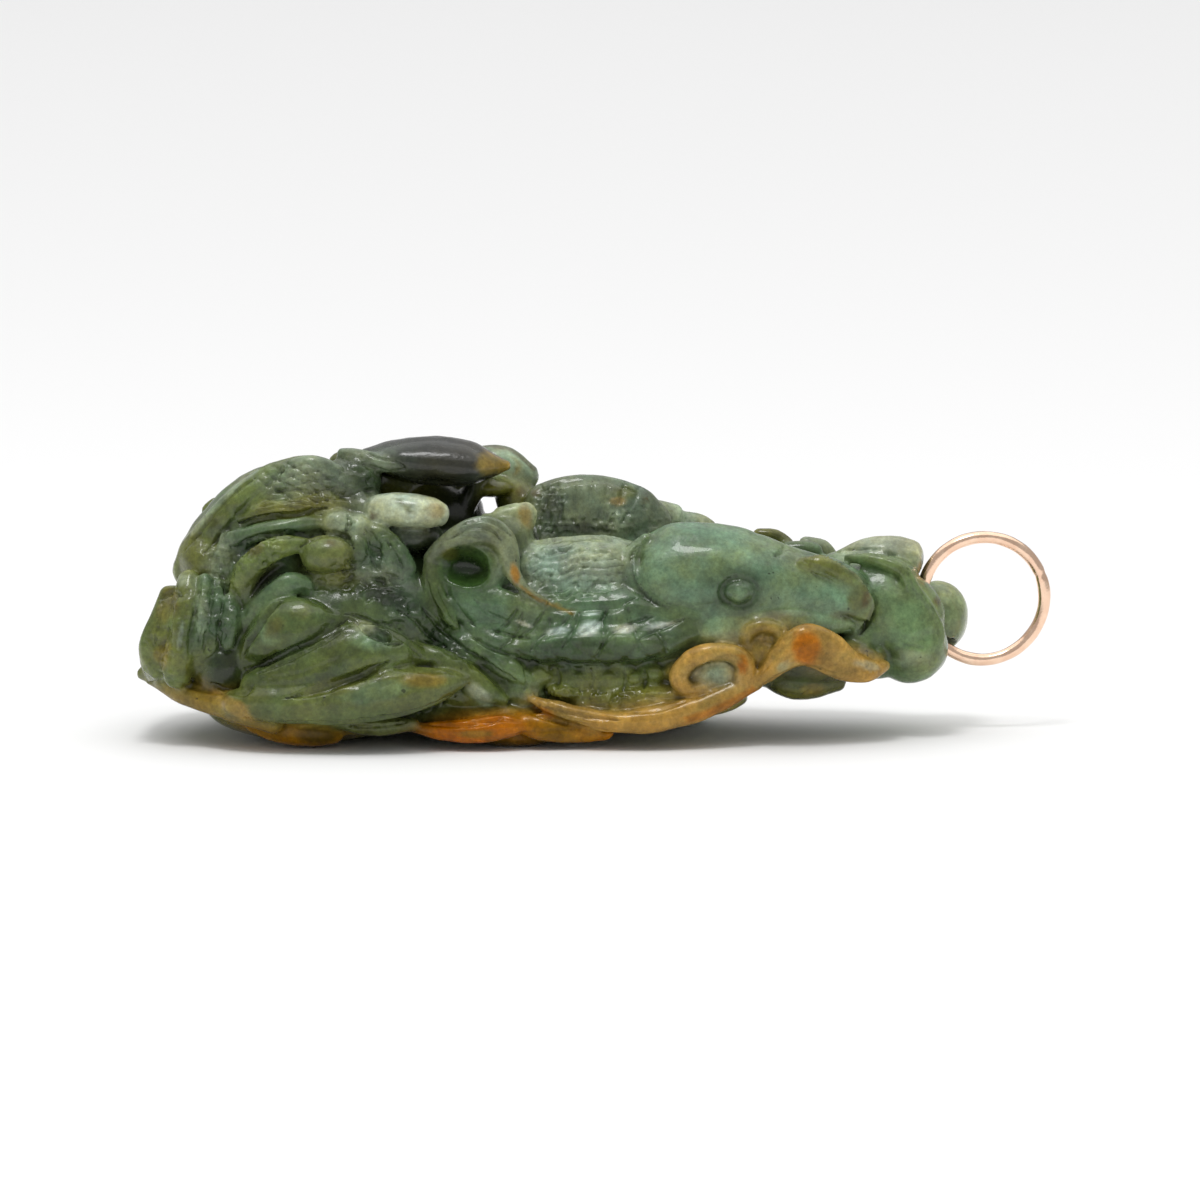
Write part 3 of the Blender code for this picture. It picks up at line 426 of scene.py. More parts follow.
def end_lobes():
    """The wrapped leaf at the ring end, and the round lobe that the ring goes through."""
    sweep(
        (22.8, -1.4, 14.0, 2.9), (24.4, -1.8, 12.7, 3.7), (25.9, -2.0, 10.8, 4.2), (26.6, -2.0, 9.4, 3.8),
        cap=0.5, thick=4.0, tone="lobe",
    )
    blob(27.0, -2.2, 8.8, 3.3, 3.6, 3.3, tone="lobe")
    blob(24.2, -2.0, 8.6, 3.2, 3.4, 2.7, tone="lobe")
    sweep(
        (21.4, 0.4, 15.4, 1.7), (23.4, 0.6, 16.1, 1.95), (25.6, 0.6, 16.2, 2.05), (27.4, 0.4, 16.1, 1.75),
        cap=0.5, thick=3.8, tone="lobe_top",
    )
    blob(25.2, -1.4, 14.6, 2.6, 3.0, 1.9, tone="lobe")
    blob(22.8, -4.2, 9.6, 2.4, 2.2, 1.9, tone="lobe")
    sweep(
        (21.6, -3.0, 16.3, 0.4), (24.0, -3.9, 16.1, 0.6), (26.2, -4.4, 15.2, 0.7), (27.1, -4.7, 13.7, 0.65),
        (28.3, -4.6, 12.0, 0.65), (29.3, -4.2, 10.0, 0.6), (29.2, -3.8, 8.2, 0.5), thick=0.8, tone="lobe",
    )
    blob(29.6, 2.6, 11.2, 2.6, 3.4, 3.1, tone="lobe_back")
    blob(27.2, 2.8, 11.2, 3.4, 3.0, 3.4, tone="lobe")
    blob(21.5, 0.5, 13.8, 3.6, 4.6, 3.2, tone="lobe")


def waves_behind_snout():
    """Small scrolls on the far side of the snout, that show over it."""
    sweep((14.1, 2.6, 18.4, 0.55), (15.6, 2.6, 18.2, 0.6), (16.6, 2.6, 17.5, 0.6), thick=1.2, tone="olive")
    sweep((16.6, 1.6, 17.0, 0.8), (18.2, 1.6, 17.1, 0.8), (18.9, 1.6, 16.9, 0.75), thick=1.4, tone="green")
    sweep((18.2, 5.2, 17.6, 0.7), (19.6, 5.2, 17.2, 0.8), (20.4, 5.0, 16.2, 0.8), thick=1.3, tone="grey")
    blob(15, 3.6, 15.6, 4.0, 3.6, 1.8, tone="green")


def amber_ribbon():
    """The ribbon and curls along the near lower edge."""
    sweep(
        (12.6, -8.8, 5.6, 0.7), (14.4, -9.2, 6.2, 0.75), (16.0, -9.6, 7.8, 1.3), (17.8, -9.6, 8.8, 1.8),
        (19.5, -9.0, 8.3, 1.8), (21.2, -8.2, 7.2, 1.5), (23.2, -7.2, 6.6, 1.0), (24.7, -6.4, 7.0, 0.5),
        thick=1.0, tone="amber",
    )
    sweep(
        (9.2, -9.6, 5.2, 0.5), (7.9, -9.8, 4.9, 0.75), (7.05, -9.8, 6.0, 0.85), (7.8, -9.8, 7.3, 0.85),
        (9.4, -9.8, 8.1, 0.8), (11.3, -9.7, 8.2, 0.8), (12.6, -9.5, 7.3, 0.85), (12.6, -9.4, 6.2, 0.8),
        (12.1, -9.3, 5.2, 0.6), thick=0.85, tone="amber",
    )
    sweep(
        (12.8, -8.8, 9.0, 0.5), (13.0, -9.0, 10.0, 0.6), (14.2, -9.1, 10.5, 0.6), (15.6, -8.9, 10.1, 0.6),
        (15.9, -8.6, 8.8, 0.7), (15.2, -8.6, 7.4, 0.6), thick=0.8, tone="olive_amber",
    )
    sweep(
        (-5.4, -9.8, 4.1, 0.3), (-3.6, -10.3, 3.4, 0.7), (-1.0, -10.6, 2.6, 0.9),
        (2.0, -10.7, 2.2, 0.95), (5.0, -10.6, 2.4, 1.1),
        (8.5, -10.0, 3.3, 1.15), (11.5, -9.4, 4.6, 1.0), (13.5, -8.8, 5.6, 0.8), thick=1.2, tone="amber",
    )
    blob(9.9, -8.0, 6.3, 3.4, 1.8, 2.3, tone="pale")
    blob(14.1, -7.2, 8.4, 2.6, 2.0, 2.2, tone="olive_amber")
    blob(4.0, -6.8, 4.2, 9.0, 3.6, 2.0, tone="olive")
    blob(7.2, -6.6, 6.6, 3.0, 2.6, 2.0, tone="olive")
    sweep(
        (14.6, -4.0, 5.9, 0.7), (17.4, -4.6, 5.4, 1.35), (20.6, -4.0, 5.6, 0.8), flat=1.8, tone="olive_deep"
    )
    blob(18, -3, 7.8, 5.4, 5.0, 2.6, tone="deep")
    blob(21.4, -4.6, 7.8, 3.6, 3.2, 2.0, tone="deep")


def beads():
    """Foam beads in the recess below the flank."""
    for x, h, r in (
        (-4.5, 6.2, 0.8), (-2.0, 5.9, 0.9), (1.3, 5.8, 1.0), (3.3, 6.0, 0.6), (4.9, 6.3, 0.75),
        (6.6, 6.5, 0.6),
    ):
        blob(x, -8.9, h, 1.2 * r, 0.7, 1.05 * r, tone="olive_green")
    blob(0.4, -6.4, 6.2, 8.0, 3.0, 2.6, tone="olive_deep")
    blob(1.7, -9.2, 4.0, 0.9, 1.6, 0.8, tone="olive_deep")
    blob(-2.6, -8.8, 4.8, 1.6, 1.2, 0.7, roll=-14, tone="olive")


def lower_petals():
    """Amber petals and feet under the near edge."""
    sweep(
        (-15.6, -10.2, 1.7, 0.4), (-13.0, -10.8, 1.5, 0.9), (-9.8, -11.0, 1.5, 1.1),
        (-7.4, -10.8, 1.8, 1.0), (-5.9, -10.4, 1.8, 0.6), thick=1.3, tone="orange",
    )
    sweep(
        (-6.4, -10.0, 2.2, 0.9), (-4.6, -10.2, 1.7, 1.15), (-1.6, -10.0, 1.2, 0.8), (0.6, -9.6, 1.1, 0.5),
        (1.2, -9.4, 1.2, 0.35), thick=1.2, tone="amber_deep",
    )
    blob(-9, -5.5, 2.8, 8.5, 5.2, 2.1, tone="olive")
    blob(-6.9, -7.6, 1.1, 3.7, 2.4, 1.1, tone="brown")
    blob(6.5, 5.0, 3.4, 3.6, 3.2, 1.9, tone="green")
    blob(-21, 8.0, 4.5, 4.6, 3.2, 2.5, tone="green")
    blob(-15, 1, 5.2, 17, 10.5, 3.2, tone="green")
    blob(3, 0, 5, 9, 8, 3.2, tone="olive")


def pointed_leaves():
    """The three long leaves of the near side, one over the other."""
    blob(-22.5, -6.2, 7.4, 8.0, 6.9, 4.9, roll=8, tone="green")
    blob(-17.0, -5.6, 6.6, 6.0, 6.2, 3.6, roll=-8, tone="green")
    sweep(
        (-30.5, -11.2, 3.8, 1.2), (-26, -12.4, 3.9, 1.8), (-21, -12.9, 4.2, 2.2), (-16.5, -12.5, 4.9, 2.15),
        (-13.2, -11.6, 5.4, 1.4), (-11.0, -10.9, 5.8, 0.5), thick=1.6, face=(0, -1, 0.25), tone="leaf_low",
    )
    sweep(
        (-29.0, -10.8, 5.4, 1.2), (-25.5, -11.9, 6.4, 1.9), (-21.6, -12.2, 8.0, 2.5),
        (-18.4, -11.9, 8.4, 2.1), (-15.8, -11.0, 8.0, 1.1), (-14.4, -10.6, 7.6, 0.4), thick=1.5,
        face=(0, -1, 0.35), tone="leaf",
    )
    sweep(
        (-29.6, -10.0, 8.0, 0.7), (-28.4, -10.6, 9.0, 1.6), (-26.6, -11.2, 10.2, 2.5),
        (-24.8, -11.2, 10.8, 2.2), (-22.8, -10.8, 10.9, 1.1), (-21.2, -10.6, 11.1, 0.35), thick=1.4,
        face=(0, -1, 0.35), tone="leaf",
    )
    sweep(
        (-22.6, -9.6, 11.8, 0.3), (-20.6, -10.2, 11.9, 0.45), (-18.4, -10.2, 11.1, 0.5),
        (-16.4, -9.8, 10.5, 0.45), (-15.4, -9.4, 9.6, 0.35), thick=0.6, tone="green",
    )
    sweep(
        (-24, -8.2, 13.0, 0.7), (-21, -8.4, 13.2, 0.9), (-18, -8.0, 12.4, 0.9), (-15.6, -7.4, 11.0, 0.8),
        thick=1.0, tone="deep",
    )
    blob(-19.5, -5.0, 12.4, 6.0, 4.0, 3.4, roll=-14, tone="deep")
    blob(-18.4, -12.6, 9.9, 1.35, 0.9, 0.75, roll=-30, group=cuts, tone="deep")


def left_block():
    """The bundle of stalks that closes the left end."""
    blob(-35.2, -1, 9.6, 3.0, 8.6, 4.2, roll=15, tone="olive_green")
    blob(-36.6, -2, 6.9, 2.3, 6.4, 1.8, roll=10, tone="olive_green")
    blob(-37.4, -4, 7.2, 1.5, 4.2, 1.8, tone="olive_green")
    blob(-33.6, -4.2, 9.9, 3.9, 6.3, 4.8, roll=8, tone="olive_green")
    sweep(
        (-35.6, -6.4, 6.6, 1.6), (-37.4, -5.8, 6.4, 1.2), (-38.7, -5.2, 6.3, 0.6), thick=2.2,
        tone="olive_green",
    )
    sweep(
        (-35.7, -7.0, 13.2, 1.4), (-36.1, -8.3, 10.8, 1.95), (-36.7, -8.3, 8.6, 2.2),
        (-37.0, -7.4, 7.0, 1.9), cap=0.4, thick=1.2, tone="olive_green",
    )
    sweep(
        (-34.6, -8.2, 14.3, 1.0), (-34.9, -9.6, 11.6, 1.3), (-35.2, -9.8, 8.8, 1.4),
        (-35.6, -9.0, 6.2, 1.2),
        thick=1.1, tone="olive_green",
    )
    sweep(
        (-33.2, -8.8, 14.4, 0.6), (-33.3, -9.8, 12.4, 0.7), (-33.6, -10.2, 10.2, 0.65),
        (-34.2, -10.2, 8.4, 0.3), thick=0.8, tone="green",
    )
    sweep(
        (-32.1, -8.8, 13.9, 0.45), (-32.2, -9.8, 12.0, 0.55), (-32.4, -10.2, 10.2, 0.5), thick=0.8,
        tone="green",
    )
    sweep((-31.0, -9.4, 12.6, 0.6), (-31.0, -10.2, 10.9, 0.8), (-31.2, -10.4, 9.0, 0.6), tone="green")
    blob(-34.2, -8.3, 11.2, 2.0, 1.5, 3.0, tone="green")
    blob(-35.8, -8.0, 9.0, 2.0, 1.7, 3.0, tone="olive_green")
    blob(-32.4, -8.6, 10.6, 1.6, 1.6, 2.6, tone="green")
    blob(-31.6, -6.0, 7.2, 3.2, 4.6, 3.4, tone="deep")
    blob(-31.0, -5.0, 11.0, 3.4, 5.2, 4.0, tone="green")
    sweep(
        (-38.0, -5.8, 5.8, 0.5), (-35.6, -7.4, 4.9, 1.0), (-33.0, -9.2, 4.1, 1.15),
        (-30.2, -10.6, 3.3, 1.3), (-27.5, -11.0, 2.4, 1.2), thick=1.6, tone="amber_dull",
    )
    sweep(
        (-29.0, -9.0, 2.2, 1.0), (-26.5, -9.8, 1.4, 1.1), (-24, -9.8, 1.2, 1.15), (-22.3, -9.6, 1.2, 0.9),
        thick=2.2, tone="amber_deep",
    )
    sweep(
        (-22.0, -10.8, 2.2, 0.6), (-18.5, -11.2, 1.9, 0.9), (-15.5, -10.6, 2.0, 0.6), thick=1.4,
        tone="leaf_low",
    )
    blob(-24, -4, 3.6, 9.5, 7.5, 3.0, tone="olive")


def buds():
    """The knot of buds and the stems that lead to it."""
    blob(-22.8, -9.1, 16.5, 2.3, 1.9, 1.75, tone="bud")
    blob(-22.6, -7.4, 15.4, 2.6, 2.6, 1.4, tone="bud")
    blob(-21.9, -7.5, 19.2, 1.45, 1.3, 1.3, tone="pale")
    blob(-20.3, -7.5, 18.8, 1.35, 1.3, 1.3, tone="pale")
    blob(-20.4, -8.2, 17.0, 1.1, 1.3, 1.5, tone="green")
    sweep(
        (-19.6, -7.4, 19.0, 0.5), (-18.4, -7.8, 18.2, 1.0), (-17.2, -7.9, 16.8, 1.2),
        (-16.0, -7.6, 15.4, 0.8),
        thick=0.9, tone="green",
    )
    sweep(
        (-20.2, -8.2, 14.6, 0.9), (-18.2, -8.2, 15.2, 1.0), (-16.8, -8.0, 14.4, 0.7), thick=0.9,
        tone="grey",
    )
    blob(-20.5, -5.4, 15.6, 4.6, 3.6, 3.6, tone="deep")
    sweep(
        (-30.8, -7.4, 17.9, 0.8), (-27.8, -8.2, 18.6, 0.8), (-25.2, -8.0, 19.2, 0.7),
        (-23.0, -7.4, 19.3, 0.5), thick=0.8, tone="green",
    )
    sweep(
        (-30.3, -9.0, 13.6, 0.9), (-29.6, -9.4, 15.2, 1.05), (-28.0, -9.6, 16.7, 1.05),
        (-26.2, -9.4, 17.3, 0.9), (-24.6, -9.0, 17.4, 0.6), thick=1.0, tone="olive_green",
    )
    sweep(
        (-30.0, -9.2, 10.6, 0.9), (-28.2, -9.8, 12.4, 1.1), (-26.4, -9.9, 13.9, 1.1),
        (-25.0, -9.6, 14.0, 0.9), (-24.3, -9.4, 13.4, 0.6), thick=1.0, tone="green",
    )
    blob(-28.4, -5.4, 14.0, 4.4, 4.6, 4.0, roll=30, tone="green")
    blob(-24.6, -5.4, 13.4, 3.6, 4.0, 2.6, tone="green")
    # a slot under the stalk; its cut faces take the black tone, painted shade
    sweep(
        (-29.2, -10.6, 13.0, 0.35), (-28.2, -10.6, 14.2, 0.5), (-26.8, -10.6, 15.3, 0.6),
        (-25.4, -10.4, 15.8, 0.55), flat=3.2, group=cuts, tone="black",
    )


def left_leaf():
    """The large cupped leaf of the upper left, with its thick rolled edge."""
    sweep(
        (-34.8, -4.2, 15.2, 1.4), (-33.8, -4.8, 17.0, 1.5), (-31.8, -5.4, 19.4, 1.6),
        (-29.4, -5.6, 21.4, 1.75), (-27.0, -5.2, 22.8, 1.8), (-24.6, -4.6, 23.4, 1.7),
        (-22.6, -3.8, 23.2, 1.4), thick=1.4, tone="olive_green",
    )
    sweep(
        (-33.4, -3.0, 15.8, 2.6), (-31.4, -3.4, 18.4, 3.0), (-28.4, -3.6, 20.6, 3.4),
        (-25.2, -3.6, 21.2, 3.2), (-22.4, -3.0, 21.4, 2.8), cap=0.4, thick=4.0, tone="green",
    )
    blob(-28.8, 1, 16.3, 6.2, 9.5, 5.0, roll=42, tone="green")
    blob(-25.5, 1.5, 19.4, 5.0, 7.5, 4.4, roll=20, tone="green")
    sweep(
        (-27.0, -5.6, 22.3, 1.4), (-25.2, -6.0, 22.9, 2.1), (-23.3, -6.0, 22.8, 2.1),
        (-21.4, -5.4, 22.2, 1.5), thick=1.0, tone="grey",
    )
    sweep(
        (-29.4, -6.6, 19.9, 0.7), (-26.4, -7.2, 20.6, 0.9), (-23.4, -7.0, 20.9, 0.9),
        (-21.2, -6.2, 20.8, 0.7),
        thick=0.8, tone="olive",
    )
    sweep((-33.2, 2.8, 20.4, 0.8), (-32.7, 2.8, 20.9, 0.7), thick=1.4, tone="olive")
    sweep((-33.7, 2.6, 19.0, 0.75), (-33.2, 2.6, 19.8, 0.85), thick=1.4, tone="olive")
    blob(-31.8, 2.4, 18.6, 2.2, 2.6, 2.2, tone="green")
    sweep(
        (-31.4, -7.2, 18.0, 0.6), (-31.7, -7.6, 16.4, 0.8), (-32.2, -7.8, 14.6, 0.8), thick=0.7,
        tone="pale",
    )
    blob(-33.2, -3.6, 16.2, 2.6, 4.2, 2.8, tone="olive_green")
    blob(-30.4, -4.6, 16.2, 3.0, 3.6, 3.2, tone="deep")
    blob(-25.8, -4.6, 18.4, 4.6, 3.4, 2.4, tone="deep")
    blob(-20.8, -3.6, 22.8, 2.6, 2.6, 2.4, tone="deep")
    blob(-20.0, -4.6, 20.6, 2.2, 2.6, 1.8, tone="deep")
    blob(-25.6, -4.4, 20.4, 5.0, 2.6, 1.8, tone="deep")


def far_side():
    """Plainer leaves and waves that finish the side away from the ribbon."""
    sweep(
        (-34, 6.5, 11.5, 1.4), (-29, 10.6, 12.4, 2.2), (-23, 12.4, 12.6, 2.4), (-17, 12.0, 11.6, 2.0),
        (-12, 10.6, 10.4, 0.7), thick=1.8, face=(0, 1, 0.3), tone="leaf",
    )
    sweep(
        (-33, 7, 6.8, 1.4), (-28, 10.6, 6.2, 2.0), (-22, 12.2, 6.0, 2.3), (-15, 11.8, 5.8, 1.9),
        (-9, 10.2, 6.2, 0.6), thick=1.9, face=(0, 1, -0.2), tone="leaf_low",
    )
    sweep(
        (-31, 7, 16.4, 1.2), (-27, 9.4, 17.2, 1.8), (-22, 10.2, 16.8, 1.8), (-17, 9.2, 15.4, 0.7),
        thick=1.6, face=(0, 1, 0.8), tone="olive_green",
    )
    sweep(
        (-7, 9.8, 8.6, 0.8), (-2, 10.4, 6.8, 1.3), (3, 10.2, 6.4, 1.5), (8, 9.2, 7.6, 1.4),
        (12, 7.8, 9.4, 1.0), (15.5, 6.4, 10.4, 0.4), thick=1.3, face=(0, 1, -0.1), tone="amber",
    )
    sweep(
        (-10, 9.0, 13.5, 0.7), (-6, 9.6, 14.1, 1.3), (-1, 9.8, 12.9, 1.4), (3, 9.2, 12.0, 0.6),
        thick=1.3, face=(0, 1, 0), tone="wave",
    )
    sweep(
        (5, 8.4, 13.0, 0.6), (9, 8.2, 14.2, 1.2), (13, 7.2, 14.2, 1.2), (16.5, 5.6, 13.4, 0.5),
        thick=1.2, face=(0, 1, 0.2), tone="pale",
    )
    sweep(
        (-32.9, 3.6, 18.4, 0.7), (-30.8, 4.0, 20.6, 1.7), (-28.0, 4.4, 22.3, 2.3),
        (-24.6, 4.6, 23.4, 2.2), (-21.4, 4.2, 23.4, 0.8), thick=1.2, face=(0, 0.35, 0.94), tone="olive_green",
    )
    sweep(
        (-33.6, 6.6, 15.8, 0.8), (-31.0, 8.2, 18.6, 1.8), (-27.6, 8.8, 20.6, 2.4),
        (-23.8, 8.4, 21.5, 2.2), (-20.4, 7.4, 21.2, 0.7), thick=1.3, face=(0, 0.75, 0.66), tone="leaf",
    )
    sweep(
        (-21.4, 6.2, 20.8, 0.7), (-18.2, 7.4, 22.8, 1.7), (-14.8, 7.8, 23.3, 1.9),
        (-11.8, 6.8, 22.6, 1.3), (-10.4, 5.8, 21.6, 0.4), thick=1.2, face=(0, 0.7, 0.7), tone="olive",
    )
    sweep(
        (-6.0, 7.0, 18.6, 0.6), (-3.6, 8.2, 20.8, 1.3), (0.0, 8.6, 21.5, 1.6), (3.4, 7.8, 20.3, 1.3),
        (5.8, 6.6, 18.6, 0.5), thick=1.2, face=(0, 0.8, 0.6), tone="fin",
    )
    sweep(
        (-6.4, 9.2, 15.4, 0.6), (-3.2, 10.3, 17.6, 1.4), (0.8, 10.3, 18.0, 1.5), (4.4, 9.2, 17.0, 1.1),
        (6.8, 7.8, 15.6, 0.4), thick=1.2, face=(0, 1, 0.3), tone="wave",
    )
    blob(-1, 6.5, 11, 11, 3.8, 4.8, tone="green")
    blob(2, 5.0, 6.4, 10, 4.4, 3.0, tone="green")
    blob(13, 5.0, 12.6, 6.5, 3.4, 3.4, tone="green")
    blob(-21, 7.0, 10.5, 10.5, 5.5, 6, tone="deep")


def hollows():
    """Deep undercuts, and the one gap that goes right through."""
    sweep((-9.1, -9, 20.7, 0.6), (-9.1, 9, 20.7, 0.6), group=cuts, tone="shade")
    blob(-9.0, 2.0, 22.6, 2.0, 2.6, 0.9, tone="olive")
    sweep(
        (-17.2, -8, 22.4, 0.45), (-13.5, -8, 22.2, 0.7), (-9.8, -8, 21.7, 0.6), flat=6, group=cuts,
        tone="shade",
    )
    sweep(
        (-5.6, -10.6, 7.1, 0.4), (-2, -10.6, 7.0, 0.45), (3.6, -10.6, 7.0, 0.45), flat=3, group=cuts,
        tone="deep",
    )


def cut(obj, cutter):
    """Takes the cutter's volume from the object."""
    boolean = obj.modifiers.new("Cut", "BOOLEAN")
    boolean.operation = "DIFFERENCE"
    boolean.solver = "EXACT"
    boolean.object = cutter
    settled(obj)
    bpy.data.objects.remove(cutter, do_unlink=True)


def ring_place():
    """The middle of the ring, as modelled."""
    turn = math.radians(RING_TURN)
    return seen(*RING_HOLE) + Vector((math.cos(turn), math.sin(turn), 0)) * RING_MIDLINE * UNIT


def lattice_noise(points, scale, seed):
    """Smooth noise from -1 to 1 at each point, from a fixed lattice of random numbers."""
    grid = np.random.default_rng(seed).uniform(-1, 1, (LATTICE, LATTICE, LATTICE))
    p = points / scale + LATTICE_SHIFT
    low = np.floor(p).astype(int)
    f = p - low
    f = f * f * (3 - 2 * f)
    total = np.zeros(len(points))
    for dx in (0, 1):
        for dy in (0, 1):
            for dz in (0, 1):
                weight = (
                    (f[:, 0] if dx else 1 - f[:, 0])
                    * (f[:, 1] if dy else 1 - f[:, 1])
                    * (f[:, 2] if dz else 1 - f[:, 2])
                )
                corner = (low + (dx, dy, dz)) % LATTICE
                total += weight * grid[corner[:, 0], corner[:, 1], corner[:, 2]]
    return total


def rise(low, high, value):
    """0 below low, 1 above high, and a smooth step between."""
    t = np.clip((value - low) / (high - low), 0, 1)
    return t * t * (3 - 2 * t)


class Skin:
    """The vertices of a mesh in shares, with what the carver's strokes need to know about them."""

    def __init__(self, mesh):
        self.mesh = mesh
        count = len(mesh.vertices)
        flat = np.empty(count * 3, np.float32)
        mesh.vertices.foreach_get("co", flat)
        self.co = flat.reshape(-1, 3).astype(float) / UNIT
        mesh.vertex_normals.foreach_get("vector", flat)
        self.normal = flat.reshape(-1, 3).astype(float)
        self.x = self.co[:, 0]
        self.y = self.co[:, 1]
        self.h = self.co[:, 2] + (self.y - NEAR_FOOT_Y) * SIGHT_SLOPE
        tilt = math.radians(SIGHT_TILT)
        self.facing = self.normal @ np.array((0, -math.cos(tilt), math.sin(tilt)))
        self.lift = np.zeros(count)
        self.front = rise(0.0, 0.3, self.facing) * self.nearest(-1)
        self.back = rise(0.0, 0.3, self.normal[:, 1]) * self.nearest(1)

    def nearest(self, way):
        """1 where a vertex is the first one that a viewer in front (-1) or behind (1) meets."""
        across = np.floor((self.x - MAP_LOW[0]) / MAP_CELL).astype(int)
        up = np.floor((self.h - MAP_LOW[1]) / MAP_CELL).astype(int)
        depth = np.full(MAP_CELLS, 1e9)
        np.minimum.at(depth, (across, up), -way * self.y)
        return 1 - rise(1.0, 2.0, -way * self.y - depth[across, up])

    def away(self, points, reach):
        """Vertices within reach of a line in the side view: index, distance, side and place along it."""
        line = np.array(smooth_line(points, 6))
        low = line.min(0) - reach
        high = line.max(0) + reach
        index = np.nonzero(
            (self.x > low[0]) & (self.x < high[0]) & (self.h > low[1]) & (self.h < high[1])
        )[0]
        px, ph = self.x[index], self.h[index]
        best = np.full(len(index), 1e9)
        side = np.zeros(len(index))
        place = np.zeros(len(index))
        steps = np.linalg.norm(np.diff(line, axis=0), axis=1)
        run = np.concatenate(([0], np.cumsum(steps)))
        for k in range(len(line) - 1):
            a, b = line[k], line[k + 1]
            ab = b - a
            t = np.clip(((px - a[0]) * ab[0] + (ph - a[1]) * ab[1]) / (ab @ ab), 0, 1)
            dx, dh = px - a[0] - t * ab[0], ph - a[1] - t * ab[1]
            d = np.hypot(dx, dh)
            near = d < best
            best[near] = d[near]
            side[near] = np.sign(ab[0] * dh - ab[1] * dx)[near]
            place[near] = ((run[k] + t * steps[k]) / run[-1])[near]
        inside = best < reach
        return index[inside], best[inside], side[inside], place[inside]

    def groove(self, *points, half=0.28, deep=0.2, taper=0.2, mask=None):
        """A line cut in, or raised where deep is below 0."""
        index, d, side, place = self.away(points, half)
        ends = np.clip(np.minimum(place, 1 - place) / taper, 0.15, 1) if taper else 1
        fall = np.clip(1 - (d / (half * ends)) ** 2, 0, 1) ** 1.5
        where = self.front if mask is None else mask
        self.lift[index] -= deep * fall * where[index]

    def ledge(self, *points, wide=1.0, high=0.25, taper=0.15, mask=None):
        """Raises the ground on the left of the line, so that it ends at the line in a sharp edge."""
        index, d, side, place = self.away(points, wide)
        ends = np.clip(np.minimum(place, 1 - place) / taper, 0, 1) if taper else 1
        up = np.where(side > 0, (1 - d / wide) ** 1.3, 0)
        down = np.where(side <= 0, -np.clip(1 - d / 0.25, 0, 1) * 0.4, 0)
        where = self.front if mask is None else mask
        self.lift[index] += high * (up + down) * ends * where[index]

    def area(self, x, h, rx, rh, roll=0, soft=0.35):
        """1 inside an ellipse in the side view, falling to 0 at its edge."""
        turn = math.radians(roll)
        dx, dh = self.x - x, self.h - h
        u = (dx * math.cos(turn) + dh * math.sin(turn)) / rx
        v = (-dx * math.sin(turn) + dh * math.cos(turn)) / rh
        return 1 - rise(1 - soft, 1 + soft * 0.4, np.hypot(u, v))

    def hatch(self, where, spacing, angle, deep, waver=0.3, seed=1):
        """Parallel cuts over an area."""
        turn = math.radians(angle)
        across = -self.x * math.sin(turn) + self.h * math.cos(turn)
        across = across + waver * lattice_noise(self.co, 2.5, seed)
        wave = np.abs(np.sin(math.pi * across / spacing))
        self.lift -= deep * (1 - wave) ** 2 * where

    def rough(self, where, deep, size, seed):
        """Chipped, faceted ground over an area: ridged noise in two sizes."""
        index = np.nonzero(where > 0.01)[0]
        co = self.co[index]
        broad = 1 - 2 * np.abs(lattice_noise(co, size, seed))
        fine = 1 - 2 * np.abs(lattice_noise(co, size * 0.45, seed + 100))
        self.lift[index] += deep * (0.7 * broad + 0.4 * fine - 0.4) * where[index]

    def settle(self):
        """Moves the vertices along their normals by what was cut or raised."""
        flat = ((self.co + self.normal * self.lift[:, None]) * UNIT).astype(np.float32)
        self.mesh.vertices.foreach_set("co", flat.ravel())
        self.mesh.update()


def cut_relief(skin):
    """The fine carving of the side that the photograph shows, and plainer lines on the rest."""
    fish_relief(skin)
    leaf_relief(skin)
    edge_relief(skin)
    far_relief(skin)
    # the carver's slight unevenness all over
    skin.lift += 0.08 * lattice_noise(skin.co, 2.2, 21) + 0.03 * lattice_noise(skin.co, 0.8, 22)


